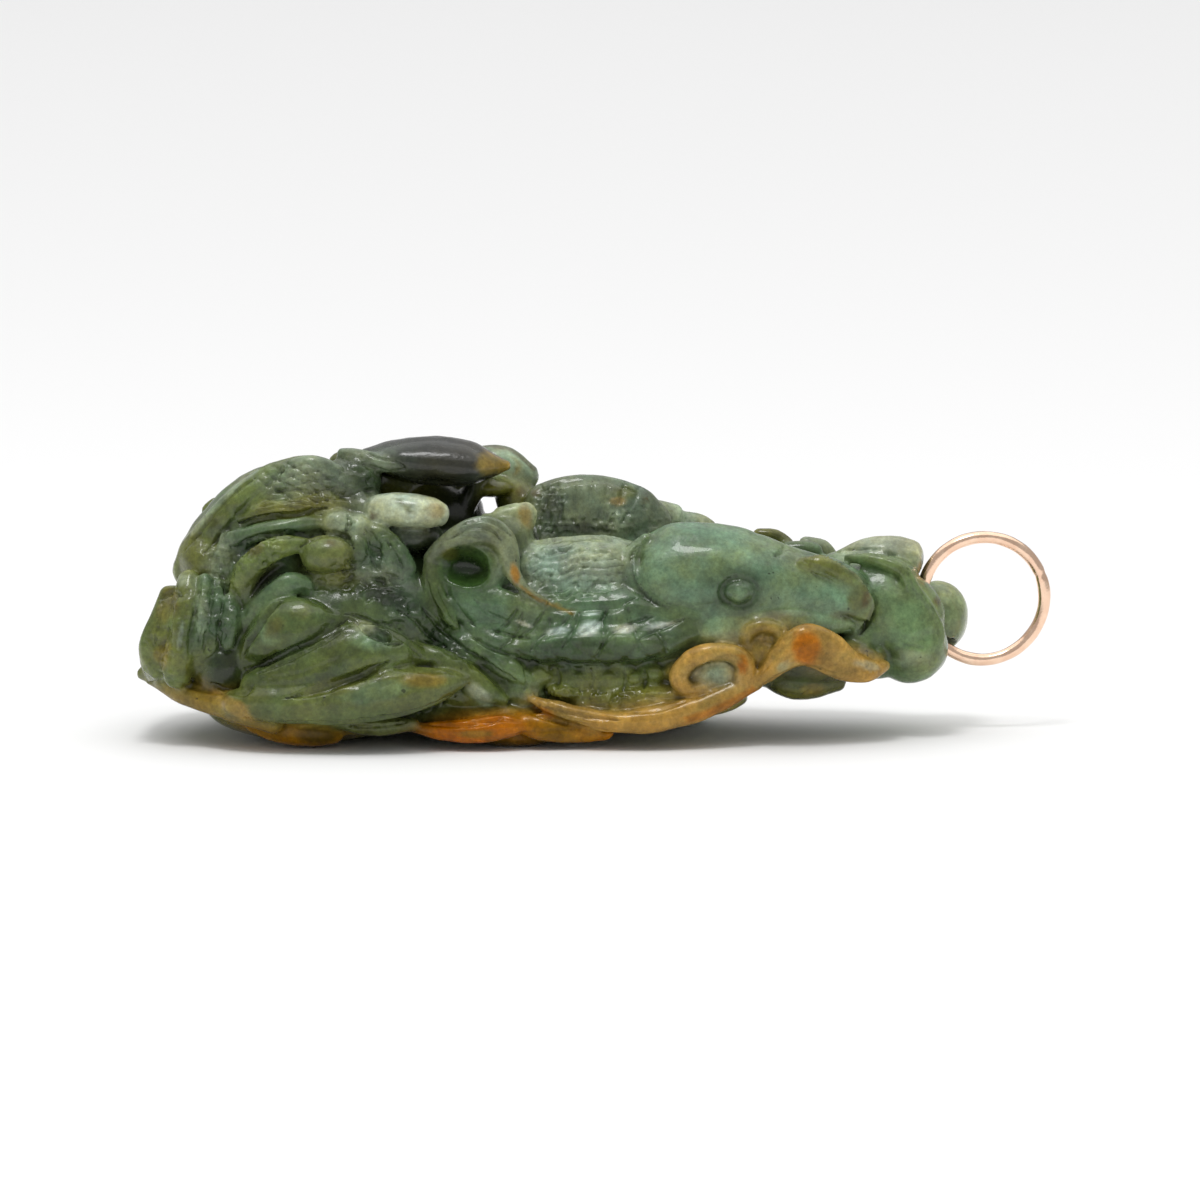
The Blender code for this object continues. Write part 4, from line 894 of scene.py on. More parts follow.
def fish_relief(skin):
    """Scales, ribs, fin rays, head and tail roll."""
    front = skin.front
    groove = skin.groove
    rough = skin.rough
    hatch = skin.hatch
    ledge = skin.ledge
    area = skin.area
    # scales of the flank: crossing cuts that leave long lozenges
    for line in (
        ((-1.6, 9.5), (0.25, 10.8), (1.1, 12.1)),
        ((0.2, 8.2), (1.4, 9.7), (3.1, 10.7), (5.1, 11.4)),
        ((3.6, 9.2), (5.1, 10.0), (7.6, 11.0)),
        ((-4.4, 9.2), (-3.0, 10.4), (-1.9, 11.7)),
        ((-6.6, 9.4), (-5.3, 10.4), (-4.2, 11.8)),
        ((-8.6, 9.8), (-7.4, 10.8), (-6.6, 12.0)),
        ((-1.4, 11.8), (-1.6, 10.8), (-2.1, 9.7), (-2.8, 8.6)),
        ((0.8, 12.1), (0.6, 10.4), (0.7, 9.3), (0.2, 7.9)),
        ((2.8, 12.1), (2.9, 10.8), (3.4, 9.8), (3.8, 8.4)),
        ((-3.9, 11.4), (-4.0, 10.1), (-4.9, 9.2), (-5.6, 8.2)),
        ((-6.2, 11.6), (-6.5, 10.4), (-7.3, 9.2), (-8.2, 8.4)),
        ((5.2, 10.0), (5.8, 9.0), (6.0, 8.2)),
    ):
        groove(*line, half=0.26, deep=0.26, taper=0.12)
    skin.lift += (0.35 * area(0.5, 8.6, 7.5, 1.3) - 0.2 * area(0.5, 11.3, 7.5, 1.0)) * front
    belly = area(-1.5, 7.6, 8.5, 1.7) * front
    hatch(belly, 1.5, 40, 0.16, seed=4)
    hatch(belly, 1.5, -35, 0.16, seed=5)
    # the shoulder between flank and ribs
    groove(
        (-6.4, 13.4), (-5.0, 12.6), (-3.0, 12.1), (-0.5, 12.0), (1.8, 12.2), (3.4, 12.9), half=0.6, deep=0.2
    )
    # wavy ribs of the back
    back = area(-1.8, 15.2, 4.9, 2.9) * front
    for k in range(11):
        h = 11.6 + 0.66 * k
        groove(
            (-6.4, h - 0.5), (-4.6, h + 0.5), (-3.0, h + 0.6), (-1.2, h + 1.3), (0.6, h + 1.2),
            (2.4, h + 1.5), half=0.26, deep=0.16, taper=0.3, mask=back,
        )
        x = -5.6 + 1.9 * (k % 3)
        groove((x, h + 1.2), (x + 1.0, h + 0.7), (x + 2.2, h + 1.6), half=0.2, deep=0.16, mask=back)
    hatch(back, 0.9, 62, 0.1, waver=0.5, seed=42)
    rough(back, 0.14, 0.8, 41)
    ledge((1.9, 17.6), (0.4, 18.2), (-2.2, 18.3), (-5.4, 17.7), wide=1.0, high=-0.35)
    # the high fin: rays that fan up and a chipped ground
    for k in range(7):
        x = -4.6 + 1.35 * k
        groove((x * 0.72 - 0.6, 18.9), (x * 0.9, 20.8), (x * 1.08 + 0.2, 22.9), half=0.26, deep=0.14)
    chips = area(-3.9, 20.4, 1.7, 2.6) * front
    hatch(chips, 0.8, 62, 0.2, seed=6)
    rough(chips, 0.26, 0.6, 7)
    chips = np.clip(area(1.9, 19.6, 1.6, 2.0) + area(-1.2, 19.1, 3.2, 0.7), 0, 1)
    rough(chips * front, 0.24, 0.5, 8)
    groove((-4.6, 22.2), (-2.0, 23.0), (1.0, 23.0), (3.4, 22.0), half=0.4, deep=0.16)
    rough(area(6.5, 20.0, 3.2, 1.4) * front, 0.12, 0.7, 9)
    # head: skull cap, cheek, gill plate, lip and the line of the mouth
    ledge(
        (6.5, 11.9), (4.6, 13.0), (3.3, 14.6), (3.2, 16.4), (4.4, 18.2), (6.0, 19.2), wide=1.3, high=-0.4
    )
    groove((16.1, 17.5), (16.0, 16.8), (15.2, 16.4), half=0.35, deep=0.25)
    groove((17.6, 16.1), (18.8, 15.4), (20.6, 14.5), half=0.25, deep=0.14)
    ledge(
        (22.2, 9.8), (23.0, 11.0), (23.4, 12.4), (22.6, 13.9), (21.4, 15.0), (19.6, 15.9), (17.4, 16.4),
        wide=1.8, high=0.6,
    )
    groove(
        (22.5, 9.6), (23.3, 10.9), (23.7, 12.5), (22.8, 14.2), (21.5, 15.3), (19.6, 16.2), half=0.4, deep=0.45
    )
    groove((18.4, 15.0), (20.4, 13.8), (21.8, 12.6), half=0.5, deep=0.14)
    groove((23.4, 11.0), (22.4, 10.9), (21.0, 11.3), half=0.3, deep=0.3)
    groove((6.0, 12.4), (8.5, 12.0), (10.4, 12.4), half=0.5, deep=0.14)
    rough(area(12.4, 13.4, 1.9, 1.7) * front, 0.08, 0.6, 10)
    # tail fin: ridges on the roll
    groove((-12.3, 18.0), (-10.6, 18.9), (-9.0, 18.7), (-8.0, 17.8), half=0.26, deep=0.3)
    groove((-11.6, 19.0), (-9.8, 19.6), (-8.2, 19.1), (-7.2, 18.2), half=0.24, deep=0.3)
    groove((-13.4, 17.6), (-11.4, 18.2), (-9.6, 17.9), half=0.2, deep=0.16)
    groove((-13.4, 14.0), (-12.8, 12.6), (-11.9, 10.6), half=0.24, deep=0.25)
    groove((-14.4, 14.6), (-14.0, 12.8), (-12.9, 11.0), half=0.25, deep=0.25)
    groove((-12.4, 13.2), (-11.4, 11.6), (-10.2, 10.4), half=0.3, deep=0.2)
    groove((-10.4, 12.8), (-9.2, 11.6), (-7.4, 10.8), half=0.25, deep=0.16)
    rough(area(-8.2, 12.4, 3.4, 1.5, roll=-18) * front, 0.12, 0.7, 12)


def leaf_relief(skin):
    """Edges, veins and hatching of the leaves, buds and stalks at the left."""
    front = skin.front
    groove = skin.groove
    rough = skin.rough
    hatch = skin.hatch
    area = skin.area
    # dark leaf: the hooked mark
    groove(
        (-20.2, 26.0), (-18.8, 25.0), (-17.2, 24.6), (-16.3, 24.0), (-17.4, 23.8), half=0.16, deep=0.2
    )
    groove((-22.2, 25.0), (-20.6, 24.6), (-18.6, 24.0), (-17.4, 23.7), half=0.2, deep=0.16)
    rough(area(-20.4, 23.2, 2.2, 2.0) * front, 0.22, 0.8, 13)
    # left leaf: thin bright rim, mottled band, crossed hatching
    groove((-35.0, 17.0), (-33.0, 19.4), (-30.8, 21.8), (-28.6, 23.4), half=0.2, deep=0.22)
    groove(
        (-33.4, 16.6), (-31.4, 18.8), (-29.6, 20.9), (-27.6, 22.8), (-26.2, 24.6), half=0.4, deep=0.25
    )
    leaf = area(-24.8, 22.6, 4.2, 2.1, roll=-10) * front
    hatch(leaf, 0.8, -30, 0.22, seed=11)
    hatch(leaf, 0.85, 12, 0.2, seed=12)
    rough(leaf, 0.12, 0.6, 14)
    rough(area(-32.0, 18.6, 3.6, 1.9, roll=48) * front, 0.16, 1.0, 15)
    for k in range(4):
        groove(
            (-29.6 + 0.8 * k, 19.9 + 0.7 * k), (-27.0 + 0.7 * k, 20.6 + 0.5 * k), (-23.6, 20.4 + 0.4 * k),
            half=0.25, deep=0.2,
        )
    groove((-30.6, 19.2), (-28.0, 19.8), (-25.0, 20.1), (-22.6, 20.6), half=0.35, deep=0.5)
    groove((-30.6, 17.2), (-27.6, 18.2), (-24.8, 18.4), half=0.45, deep=0.5)
    # stalks under the leaf
    rough(area(-31.6, 15.6, 1.5, 2.4) * front, 0.22, 0.7, 16)
    # buds
    groove(
        (-25.0, 17.2), (-24.0, 18.0), (-22.6, 18.4), (-21.2, 18.1), (-20.4, 17.0), half=0.3, deep=0.35
    )
    groove((-24.9, 15.2), (-23.4, 14.7), (-21.6, 14.8), (-20.4, 15.4), half=0.35, deep=0.3)
    groove((-21.0, 20.0), (-20.9, 19.2), (-21.3, 18.3), half=0.25, deep=0.35)
    groove((-22.2, 19.5), (-21.4, 19.1), (-20.2, 19.4), half=0.18, deep=0.14)
    groove((-19.6, 18.9), (-18.6, 17.6), (-18.2, 16.0), half=0.35, deep=0.25)
    groove((-17.8, 17.9), (-17.2, 16.8), (-16.4, 15.4), half=0.3, deep=0.25)
    groove((-19.2, 16.4), (-18.0, 15.0), (-16.4, 14.4), half=0.3, deep=0.25)
    # the rough ground between the leaves and the curl
    rough(area(-19.4, 14.2, 3.4, 1.9, roll=-20) * front, 0.34, 1.0, 17)
    rough(area(-17.6, 12.6, 4.0, 1.7, roll=-34) * front, 0.34, 1.2, 18)
    rough(area(-18.0, 16.2, 2.2, 2.6, roll=-30) * front, 0.26, 1.1, 43)
    rough(area(-31.6, 12.0, 2.2, 2.6) * front, 0.2, 0.9, 44)
    rough(area(-28.6, 16.6, 2.6, 1.6, roll=30) * front, 0.25, 0.8, 45)
    rough(area(-12.6, 9.2, 4.4, 1.5, roll=-36) * front, 0.2, 0.8, 19)
    rough(area(-23.6, 13.8, 1.6, 0.8) * front, 0.2, 0.8, 20)
    rough(area(-18.0, 17.0, 1.9, 1.9) * front, 0.14, 0.7, 23)
    for line in (
        ((-15.0, 12.4), (-13.2, 10.2), (-11.0, 8.4), (-8.6, 6.8)),
        ((-16.8, 11.9), (-15.2, 10.8), (-14.0, 9.4), (-12.2, 8.2)),
        ((-10.6, 9.6), (-9.0, 8.6), (-7.2, 7.9)),
        ((-10.0, 7.7), (-8.2, 6.5), (-6.8, 5.8)),
        ((-8.9, 10.2), (-7.0, 9.6), (-5.2, 9.3)),
    ):
        groove(*line, half=0.25, deep=0.3)
    # pointed leaves: overlapping edges and midribs
    groove((-29.9, 7.7), (-29.6, 8.8), (-28.6, 10.3), (-27.6, 11.8), (-26.4, 12.7), half=0.35, deep=0.5)
    groove((-29.8, 6.6), (-27.4, 7.6), (-24.4, 9.0), (-22.4, 10.1), (-20.9, 11.1), half=0.35, deep=0.4)
    groove((-28.6, 6.4), (-25.4, 7.8), (-22.6, 9.3), (-20.8, 10.6), half=0.2, deep=0.2)
    groove((-25.0, 8.2), (-23.2, 9.2), (-21.6, 10.1), half=0.14, deep=0.14)
    groove((-26.2, 4.3), (-23.0, 5.1), (-20.0, 6.2), (-17.4, 7.4), half=0.55, deep=0.5)
    groove((-28.6, 6.0), (-25, 6.4), (-21.4, 7.8), half=0.3, deep=0.1)
    groove((-20.4, 10.9), (-19.0, 9.7), (-17.2, 8.9), (-16.2, 9.0), half=0.3, deep=0.3)
    groove((-21.8, 11.6), (-19.8, 11.2), (-18.0, 10.4), (-16.2, 9.2), (-14.6, 7.6), half=0.22, deep=0.25)
    groove((-18.4, 10.9), (-17.0, 10.3), (-15.8, 9.5), half=0.2, deep=0.2)
    groove(
        (-27.0, 2.2), (-22, 2.0), (-18.0, 2.5), (-14.6, 3.2), (-12.0, 4.5), (-10.8, 5.4), half=0.35, deep=0.4
    )
    groove((-21, 1.7), (-18, 1.9), (-15.8, 2.2), half=0.18, deep=0.2)
    groove((-17.0, 6.9), (-14.6, 6.7), (-12.8, 6.4), half=0.4, deep=0.12)
    hatch(area(-20.0, 4.7, 7.5, 1.5, roll=7) * front, 1.2, 24, 0.07, waver=0.6, seed=51)
    hatch(area(-21.5, 8.6, 5.0, 1.9, roll=10) * front, 1.1, 34, 0.07, waver=0.6, seed=52)
    rough(area(-21.0, 7.0, 10.0, 5.2) * front, 0.1, 1.5, 53)
    rough(area(-27.4, 2.6, 3.0, 0.7, roll=-12) * front, 0.14, 0.7, 24)
    rough(area(-18.0, 2.3, 3.6, 0.6, roll=4) * front, 0.16, 0.6, 25)
    # stalks of the left end
    for x in (-35.9, -33.9, -32.7):
        groove((x + 0.4, 14.0), (x, 12.0), (x - 0.3, 9.8), (x - 0.6, 8.0), half=0.3, deep=0.2)
    for x in (-37.2, -36.4, -35.0, -34.3, -33.3, -32.0):
        groove((x + 0.4, 12.6), (x + 0.1, 10.6), (x - 0.4, 8.6), half=0.18, deep=0.16)
    rough(area(-33.6, 10.4, 2.8, 3.6) * front, 0.3, 1.1, 26)
    rough(area(-36.6, 8.2, 2.2, 3.0) * front, 0.24, 1.0, 27)
    groove((-37.2, 12.7), (-36.2, 13.3), (-35.0, 13.0), half=0.35, deep=0.35)
    groove((-38.6, 5.5), (-36.2, 5.6), (-33.6, 5.0), (-31.2, 4.6), half=0.3, deep=0.2)
    groove((-32.9, 5.6), (-31.4, 5.0), (-29.8, 4.6), (-29.0, 5.4), half=0.3, deep=0.25)


def edge_relief(skin):
    """Ribbon, curls, band, petals and the end lobes."""
    front = skin.front
    groove = skin.groove
    rough = skin.rough
    area = skin.area
    groove((14.2, 6.4), (15.6, 8.2), (16.9, 9.8), half=0.3, deep=0.14)
    groove((19.0, 9.9), (20.2, 8.3), (22.2, 6.8), (24.2, 6.6), half=0.5, deep=0.12)
    groove((14.0, 5.2), (16.0, 6.3), (18.0, 6.9), (20.4, 6.3), half=0.3, deep=0.12)
    rough(area(10.0, 6.4, 1.5, 1.2) * front, 0.12, 0.7, 28)
    rough(area(14.4, 8.6, 1.2, 1.4) * front, 0.12, 0.6, 29)
    groove((-4.8, 3.6), (-2.6, 3.0), (-0.6, 2.6), (2.0, 2.4), half=0.3, deep=0.24)
    groove((-4.8, 3.1), (-2.6, 2.3), (-0.4, 1.9), half=0.2, deep=0.14)
    groove((3.0, 3.0), (5.4, 3.2), (7.8, 4.0), half=0.25, deep=0.12)
    groove((4.0, 4.4), (7.0, 4.3), (10.0, 4.8), half=0.3, deep=0.16)
    rough(area(-0.6, 4.5, 6.0, 0.8) * front, 0.2, 0.6, 30)
    groove((-14.4, 2.0), (-11.4, 1.9), (-9.4, 2.1), (-7.8, 2.5), (-6.4, 2.2), half=0.3, deep=0.22)
    groove((-10.6, 2.3), (-9.0, 2.3), (-7.8, 2.7), half=0.2, deep=0.2)
    groove((-7.0, 1.1), (-4.4, 1.4), (-1.4, 1.6), half=0.2, deep=0.14)
    groove((-5.4, 2.9), (-3.4, 2.3), (-1.2, 1.7), (0.8, 1.5), half=0.25, deep=0.25)
    for x in (-6.0, -3.3, -0.4, 2.4, 4.1):
        groove((x, 6.8), (x + 0.2, 5.8), (x - 0.1, 4.9), half=0.25, deep=0.2)
    # end lobes
    groove((20.6, 16.9), (23.0, 16.9), (25.2, 16.6), (26.8, 15.9), half=0.35, deep=0.3)
    groove((26.7, 15.4), (26.9, 13.9), (27.8, 12.6), (28.9, 11.2), (29.4, 9.4), half=0.35, deep=0.2)
    groove((25.8, 9.3), (26.6, 8.8), (28.0, 8.5), half=0.2, deep=0.12)
    groove((22.0, 10.8), (23.6, 9.6), (24.2, 8.2), half=0.7, deep=0.22)
    groove((16.2, 4.6), (17.5, 4.4), (18.4, 5.0), half=0.2, deep=0.16)


def far_relief(skin):
    """Veins of the plain leaves on the far side."""
    for line in (
        ((-34, 11.5), (-28, 12.6), (-21, 12.4), (-13, 10.6)),
        ((-33, 6.6), (-27, 6.2), (-20, 6.0), (-10, 6.2)),
        ((-30, 16.6), (-25, 17.2), (-18, 15.8)),
        ((-6, 8.4), (0, 6.8), (7, 7.4), (13, 9.8)),
        ((-9, 13.6), (-4, 13.8), (2, 12.4)),
        ((6, 13.4), (10, 14.4), (15, 13.8)),
        ((-32.6, 17.0), (-28.4, 20.4), (-21.6, 21.5)),
        ((-20.4, 21.6), (-15.6, 23.3), (-11.2, 22.4)),
        ((-5.4, 19.4), (-0.6, 21.5), (5.0, 19.4)),
        ((-5.8, 15.9), (-0.4, 18.0), (6.2, 16.2)),
    ):
        skin.groove(*line, half=0.35, deep=0.28, mask=skin.back)
        for k in range(1, 7):
            t = k / 7
            x = line[0][0] + (line[-1][0] - line[0][0]) * t
            h = line[1][1] if t < 0.6 else line[-2][1]
            skin.groove((x, h), (x + 1.0, h + 0.9), half=0.2, deep=0.12, mask=skin.back)
            skin.groove((x, h), (x + 1.0, h - 0.9), half=0.2, deep=0.12, mask=skin.back)


def linear(tone):
    """A colour from 0 to 255 as linear light from 0 to 1."""
    c = np.array(tone, float) / 255
    return np.where(c <= 0.04045, c / 12.92, ((c + 0.055) / 1.055) ** 2.4)


def neighbour_mean(values, edges, count):
    """The mean of each vertex's neighbours."""
    links = np.bincount(edges.ravel(), minlength=count)[:, None]
    total = np.empty_like(values)
    for k in range(values.shape[1]):
        total[:, k] = np.bincount(edges[:, 0], values[edges[:, 1], k], count)
        total[:, k] += np.bincount(edges[:, 1], values[edges[:, 0], k], count)
    return total / np.maximum(links, 1)


def lump_tones(points):
    """The linear colour of the lump that lies nearest to each point."""
    lumps = clay + cuts
    tree = KDTree(sum(len(mesh.vertices) for mesh, tone in lumps))
    tones = []
    for mesh, tone in lumps:
        for vertex in mesh.vertices:
            tree.insert(vertex.co / UNIT, len(tones))
            tones.append(tone)
    tree.balance()
    palette = np.array([linear(TONES[name]) for name in NAMES])
    nearest = [tones[tree.find(point)[1]] for point in points]
    return palette[nearest]


class Coat:
    """The colours of a skin, painted from in front or behind."""

    def __init__(self, skin, edges):
        self.skin = skin
        self.edges = edges
        self.count = len(skin.co)
        self.colour = lump_tones(skin.co)
        self.spread(COLOUR_SPREAD)
        self.fine = self.sunk(FINE_SPREAD)
        self.middle = self.sunk(MIDDLE_SPREAD)
        self.broad = self.sunk(BROAD_SPREAD)
        self.glint_fleck = np.zeros(self.count)

    def sunk(self, times):
        """How far each vertex lies below the skin smoothed that many times, in shares."""
        smooth = self.skin.co
        for k in range(round(times * TRIANGLES / QUICK_TRIANGLES)):
            smooth = neighbour_mean(smooth, self.edges, self.count)
        return np.sum((smooth - self.skin.co) * self.skin.normal, axis=1)

    def spread(self, times):
        """Lets neighbouring colours run together."""
        for k in range(round(times * TRIANGLES / QUICK_TRIANGLES)):
            self.colour = 0.4 * self.colour + 0.6 * neighbour_mean(self.colour, self.edges, self.count)

    def mix(self, tone, weight):
        """Lays a colour over the skin by a weight for each vertex."""
        weight = np.clip(weight, 0, 1)[:, None]
        self.colour = self.colour * (1 - weight) + linear(TONES[tone]) * weight

    def patch(self, tone, x, h, rx, rh, roll=0, much=0.8, mask=None):
        """A stain, a painted highlight or a painted shade, with a ragged edge."""
        skin = self.skin
        edge = skin.area(x, h, rx, rh, roll, soft=0.8)
        edge = edge + 0.35 * lattice_noise(skin.co, 0.9, 31) * rise(0.02, 0.5, edge)
        self.mix(tone, much * rise(0.15, 0.85, edge) * (skin.front if mask is None else mask))

    def stroke(self, tone, *points, half=0.3, much=0.8, mask=None):
        """A line of colour."""
        index, d, side, place = self.skin.away(points, half)
        weight = np.zeros(self.count)
        ragged = 1 + 0.5 * lattice_noise(self.skin.co[index], 0.6, 32)
        weight[index] = np.clip((1 - d / half) * 2 * ragged, 0, 1)
        self.mix(tone, much * weight * (self.skin.front if mask is None else mask))

    def shade(self):
        """Paints light and shade: lighter edges, ridges and a pale rim, partly rubbed wear and partly painted
        highlight; darker pits, valleys, hollows and undersides, painted shade.
        """
        edge = rise(0.15, 0.5, -self.fine)
        ridge = rise(0.3, 1.0, -self.middle)
        pit = rise(0.03, 0.25, self.fine)
        valley = rise(0.05, 0.7, self.middle)
        deep = rise(0.1, 1.6, self.broad)
        under = rise(0.0, 1.0, -self.skin.normal[:, 2])
        # lighter edges and ridges: partly rubbed wear, partly painted highlight; darker pits, valleys, deep
        # hollows and undersides: painted shade
        light = 1 + 0.3 * edge + 0.25 * ridge - 0.2 * pit - 0.3 * valley - 0.4 * deep - 0.2 * under
        light = np.clip(light, 0.12, 1.6)[:, None]
        self.colour = np.clip(self.colour * light ** np.array((1.0, 0.95, 1.2)), 0, 1)
        # a pale rim on the sharpest edges: painted highlight, partly wear
        rim = rise(0.25, 0.7, -self.fine)
        self.mix("mint", 0.4 * rim * self.skin.front)
        # where the painted glints of the rough ground may show: in pits and valleys, less in the deepest
        # hollows
        self.glint_fleck = np.clip(self.glint_fleck + 0.5 * pit + 0.4 * valley - 0.6 * deep, 0, 1)

    def store(self):
        """Writes the colours, with their painted light and shade, and the weights of the painted glints to
        the mesh.
        """
        mesh = self.skin.mesh
        tint = mesh.color_attributes.new("tint", "FLOAT_COLOR", "POINT")
        rgba = np.ones((self.count, 4), np.float32)
        rgba[:, :3] = self.colour
        tint.data.foreach_set("color", rgba.ravel())
        glow = rise(2.5, 9.0, self.colour[:, 0] / (self.colour[:, 2] + 0.01))
        for name, values in (("glint_fleck", self.glint_fleck), ("glow", glow)):
            made = mesh.attributes.new(name, "FLOAT", "POINT")
            made.data.foreach_set("value", values.astype(np.float32))


def paint(coat):
    """The natural colours of the stone, as they lie on the photographed side, with painted highlights and
    painted shade over them.
    """
    patch = coat.patch
    stroke = coat.stroke
    # fin and back
    patch("black", -3.9, 20.8, 1.5, 2.4, much=0.4)
    patch("black", -1.0, 18.9, 3.6, 0.7, much=0.5)
    patch("pale", 2.0, 19.7, 1.3, 1.5, much=0.5)
    patch("olive_deep", 2.6, 22.0, 1.3, 0.9, much=0.75)
    patch("brown", 4.3, 21.3, 0.4, 0.3, much=0.8)
    patch("amber", 2.0, 21.2, 1.0, 0.5, much=0.5)
    patch("pale", -2.0, 17.9, 4.0, 0.5, roll=3, much=0.5)
    patch("mint", -1.0, 16.2, 3.0, 0.8, much=0.3)
    # curl
    # the curl's hollow painted dark green: painted shade
    patch("hollow", -11.1, 15.3, 3.0, 2.1, much=0.95)
    patch("olive", -12.4, 16.6, 0.9, 0.7, much=0.6)
    patch("amber_deep", -6.9, 14.9, 0.5, 1.2, roll=10, much=0.7)
    stroke("amber_dull", (-6.4, 13.9), (-5.0, 12.8), (-3.0, 12.0), (-2.0, 11.5), half=0.2, much=0.7)
    patch("amber_dull", -5.9, 19.9, 0.9, 1.3, roll=10, much=0.7)
    stroke("brown", (-9.6, 26.1), (-7.6, 25.9), (-6.2, 25.0), (-5.3, 24.1), half=0.3, much=0.7)
    patch("brown", -6.5, 22.1, 0.6, 0.5, much=0.6)
    patch("brown", -5.1, 22.0, 0.6, 0.5, much=0.6)
    # snout, end lobes and scrolls
    patch("olive_deep", 22.4, 12.8, 1.1, 1.5, roll=-30, much=0.75)
    patch("brown", 23.1, 12.7, 0.5, 0.9, roll=-20, much=0.8)
    stroke("shade", (22.5, 9.6), (23.3, 10.9), (23.8, 12.5), (22.9, 14.2), (21.5, 15.4), half=0.35, much=0.5)
    patch("brown", 21.0, 11.3, 1.8, 0.6, much=0.5)
    patch("olive", 20.6, 14.9, 2.4, 0.5, roll=-32, much=0.5)
    patch("lobe_top", 26.0, 17.3, 2.2, 0.7, much=0.7)
    patch("olive_green", 27.4, 7.4, 3.0, 1.3, much=0.6)
    patch("amber", 14.4, 9.7, 1.6, 1.0, much=0.5)
    patch("brown", 15.6, 11.4, 1.6, 0.5, roll=-10, much=0.5)
    patch("olive", 7.6, 15.4, 1.6, 1.6, much=0.25)
    patch("amber", 27.9, 14.9, 0.4, 1.2, much=0.7)
    patch("brown", 29.3, 12.6, 0.5, 0.5, much=0.7)
    patch("olive", 30.8, 11.0, 1.4, 2.0, much=0.4)
    # the top of the head painted darker green, against the sheen of the lights: painted shade
    patch("green", 9.6, 17.2, 3.4, 1.1, much=0.55)
    patch("lobe_top", 27.2, 7.6, 1.8, 1.0, much=0.35)
    patch("olive_amber", 18.5, 5.0, 1.4, 0.6, much=0.35)
    # ribbon, curls and band
    patch("orange", 18.0, 8.6, 1.5, 1.9, roll=20, much=0.9)
    patch("orange", 12.5, 7.2, 0.5, 0.9, much=0.8)
    patch("orange", -4.4, 3.1, 1.3, 0.6, roll=-20, much=0.7)
    stroke("orange", (8.0, 2.4), (11.0, 3.6), (13.4, 4.9), half=0.45, much=0.6)
    patch("grey", 10.4, 6.2, 1.1, 0.9, much=0.7)
    patch("mint", 23.0, 7.1, 1.4, 0.5, roll=-12, much=0.35)
    patch("pale", 16.0, 7.0, 0.8, 0.5, roll=40, much=0.4)
    patch("orange", -10.0, 2.0, 3.0, 0.8, much=0.6)
    patch("olive", -10.4, 1.2, 2.0, 0.4, much=0.5)
    # left end
    patch("amber", -31.0, 3.6, 2.6, 0.9, roll=-28, much=0.6)
    patch("brown", -23.6, 1.0, 2.0, 0.9, much=0.8)
    # painted shade in the recess at the foot of the stalks
    patch("deep", -31.6, 6.9, 1.6, 1.9, much=0.7)
    patch("brown", -18.9, 19.9, 0.5, 0.5, much=0.8)
    stroke("olive_deep", (-16.9, 21.6), (-16.4, 20.9), (-15.8, 20.3), half=0.25, much=0.7)
    patch("amber_dull", -13.6, 20.4, 1.0, 0.9, much=0.5)
    patch("olive_amber", -9.0, 24.6, 1.5, 1.4, much=0.6)
    patch("amber_dull", -7.4, 24.3, 1.5, 1.1, much=0.75)
    patch("mint", -10.0, 4.6, 1.8, 0.8, roll=-38, much=0.7)
    patch("pale", -33.5, 11.2, 0.9, 2.2, much=0.55)
    patch("mint", -35.2, 9.6, 0.3, 1.6, roll=-10, much=0.5)
    patch("amber_dull", -36.8, 8.0, 0.9, 1.8, roll=-14, much=0.4)
    patch("shade", -21.2, 7.9, 2.2, 0.8, roll=20, much=0.35)
    patch("head", -18.9, 4.8, 4.0, 1.1, roll=8, much=0.45)
    patch("head", -19.4, 9.3, 2.4, 1.1, roll=-22, much=0.5)
    # painted shade in the creases where the pointed leaves overlap
    patch("deep", -25.4, 8.8, 3.0, 0.8, roll=30, much=0.5)
    patch("deep", -22.4, 6.5, 3.4, 0.6, roll=24, much=0.6)
    patch("olive_deep", -25.0, 11.6, 1.2, 0.8, roll=20, much=0.4)
    patch("head", -27.8, 9.6, 1.0, 1.4, roll=30, much=0.35)
    patch("olive_green", -31.4, 15.6, 1.4, 2.4, roll=20, much=0.4)
    patch("brown", -28.8, 17.0, 1.0, 0.7, roll=30, much=0.5)
    patch("brown", -27.2, 10.4, 1.4, 0.8, roll=30, much=0.4)
    patch("olive", -22.0, 5.2, 3.0, 1.0, roll=8, much=0.5)
    patch("amber_dull", -14.6, 5.8, 2.2, 0.9, much=0.55)
    patch("mint", -19.6, 10.3, 1.2, 0.8, roll=-20, much=0.5)
    patch("grey", -26.0, 22.4, 3.2, 1.8, roll=-10, much=0.4)
    patch("mint", -35.8, 14.4, 1.4, 0.7, much=0.4)
    patch("shade", -18.0, 13.2, 2.6, 1.0, roll=-30, much=0.5)
    patch("brown", -22.5, 17.6, 0.7, 0.4, much=0.7)
    patch("black", -15.6, 20.7, 0.3, 0.2, much=0.7)
    # painted highlight along the rolled rim of the left leaf
    stroke("mint", (-34.4, 18.4), (-32.0, 21.1), (-30.2, 22.9), (-28.9, 23.9), half=0.3, much=0.5)
    patch("olive", -32.0, 20.4, 2.2, 1.0, roll=48, much=0.4)
    patch("amber_dull", -36.4, 12.2, 1.2, 2.2, much=0.35)
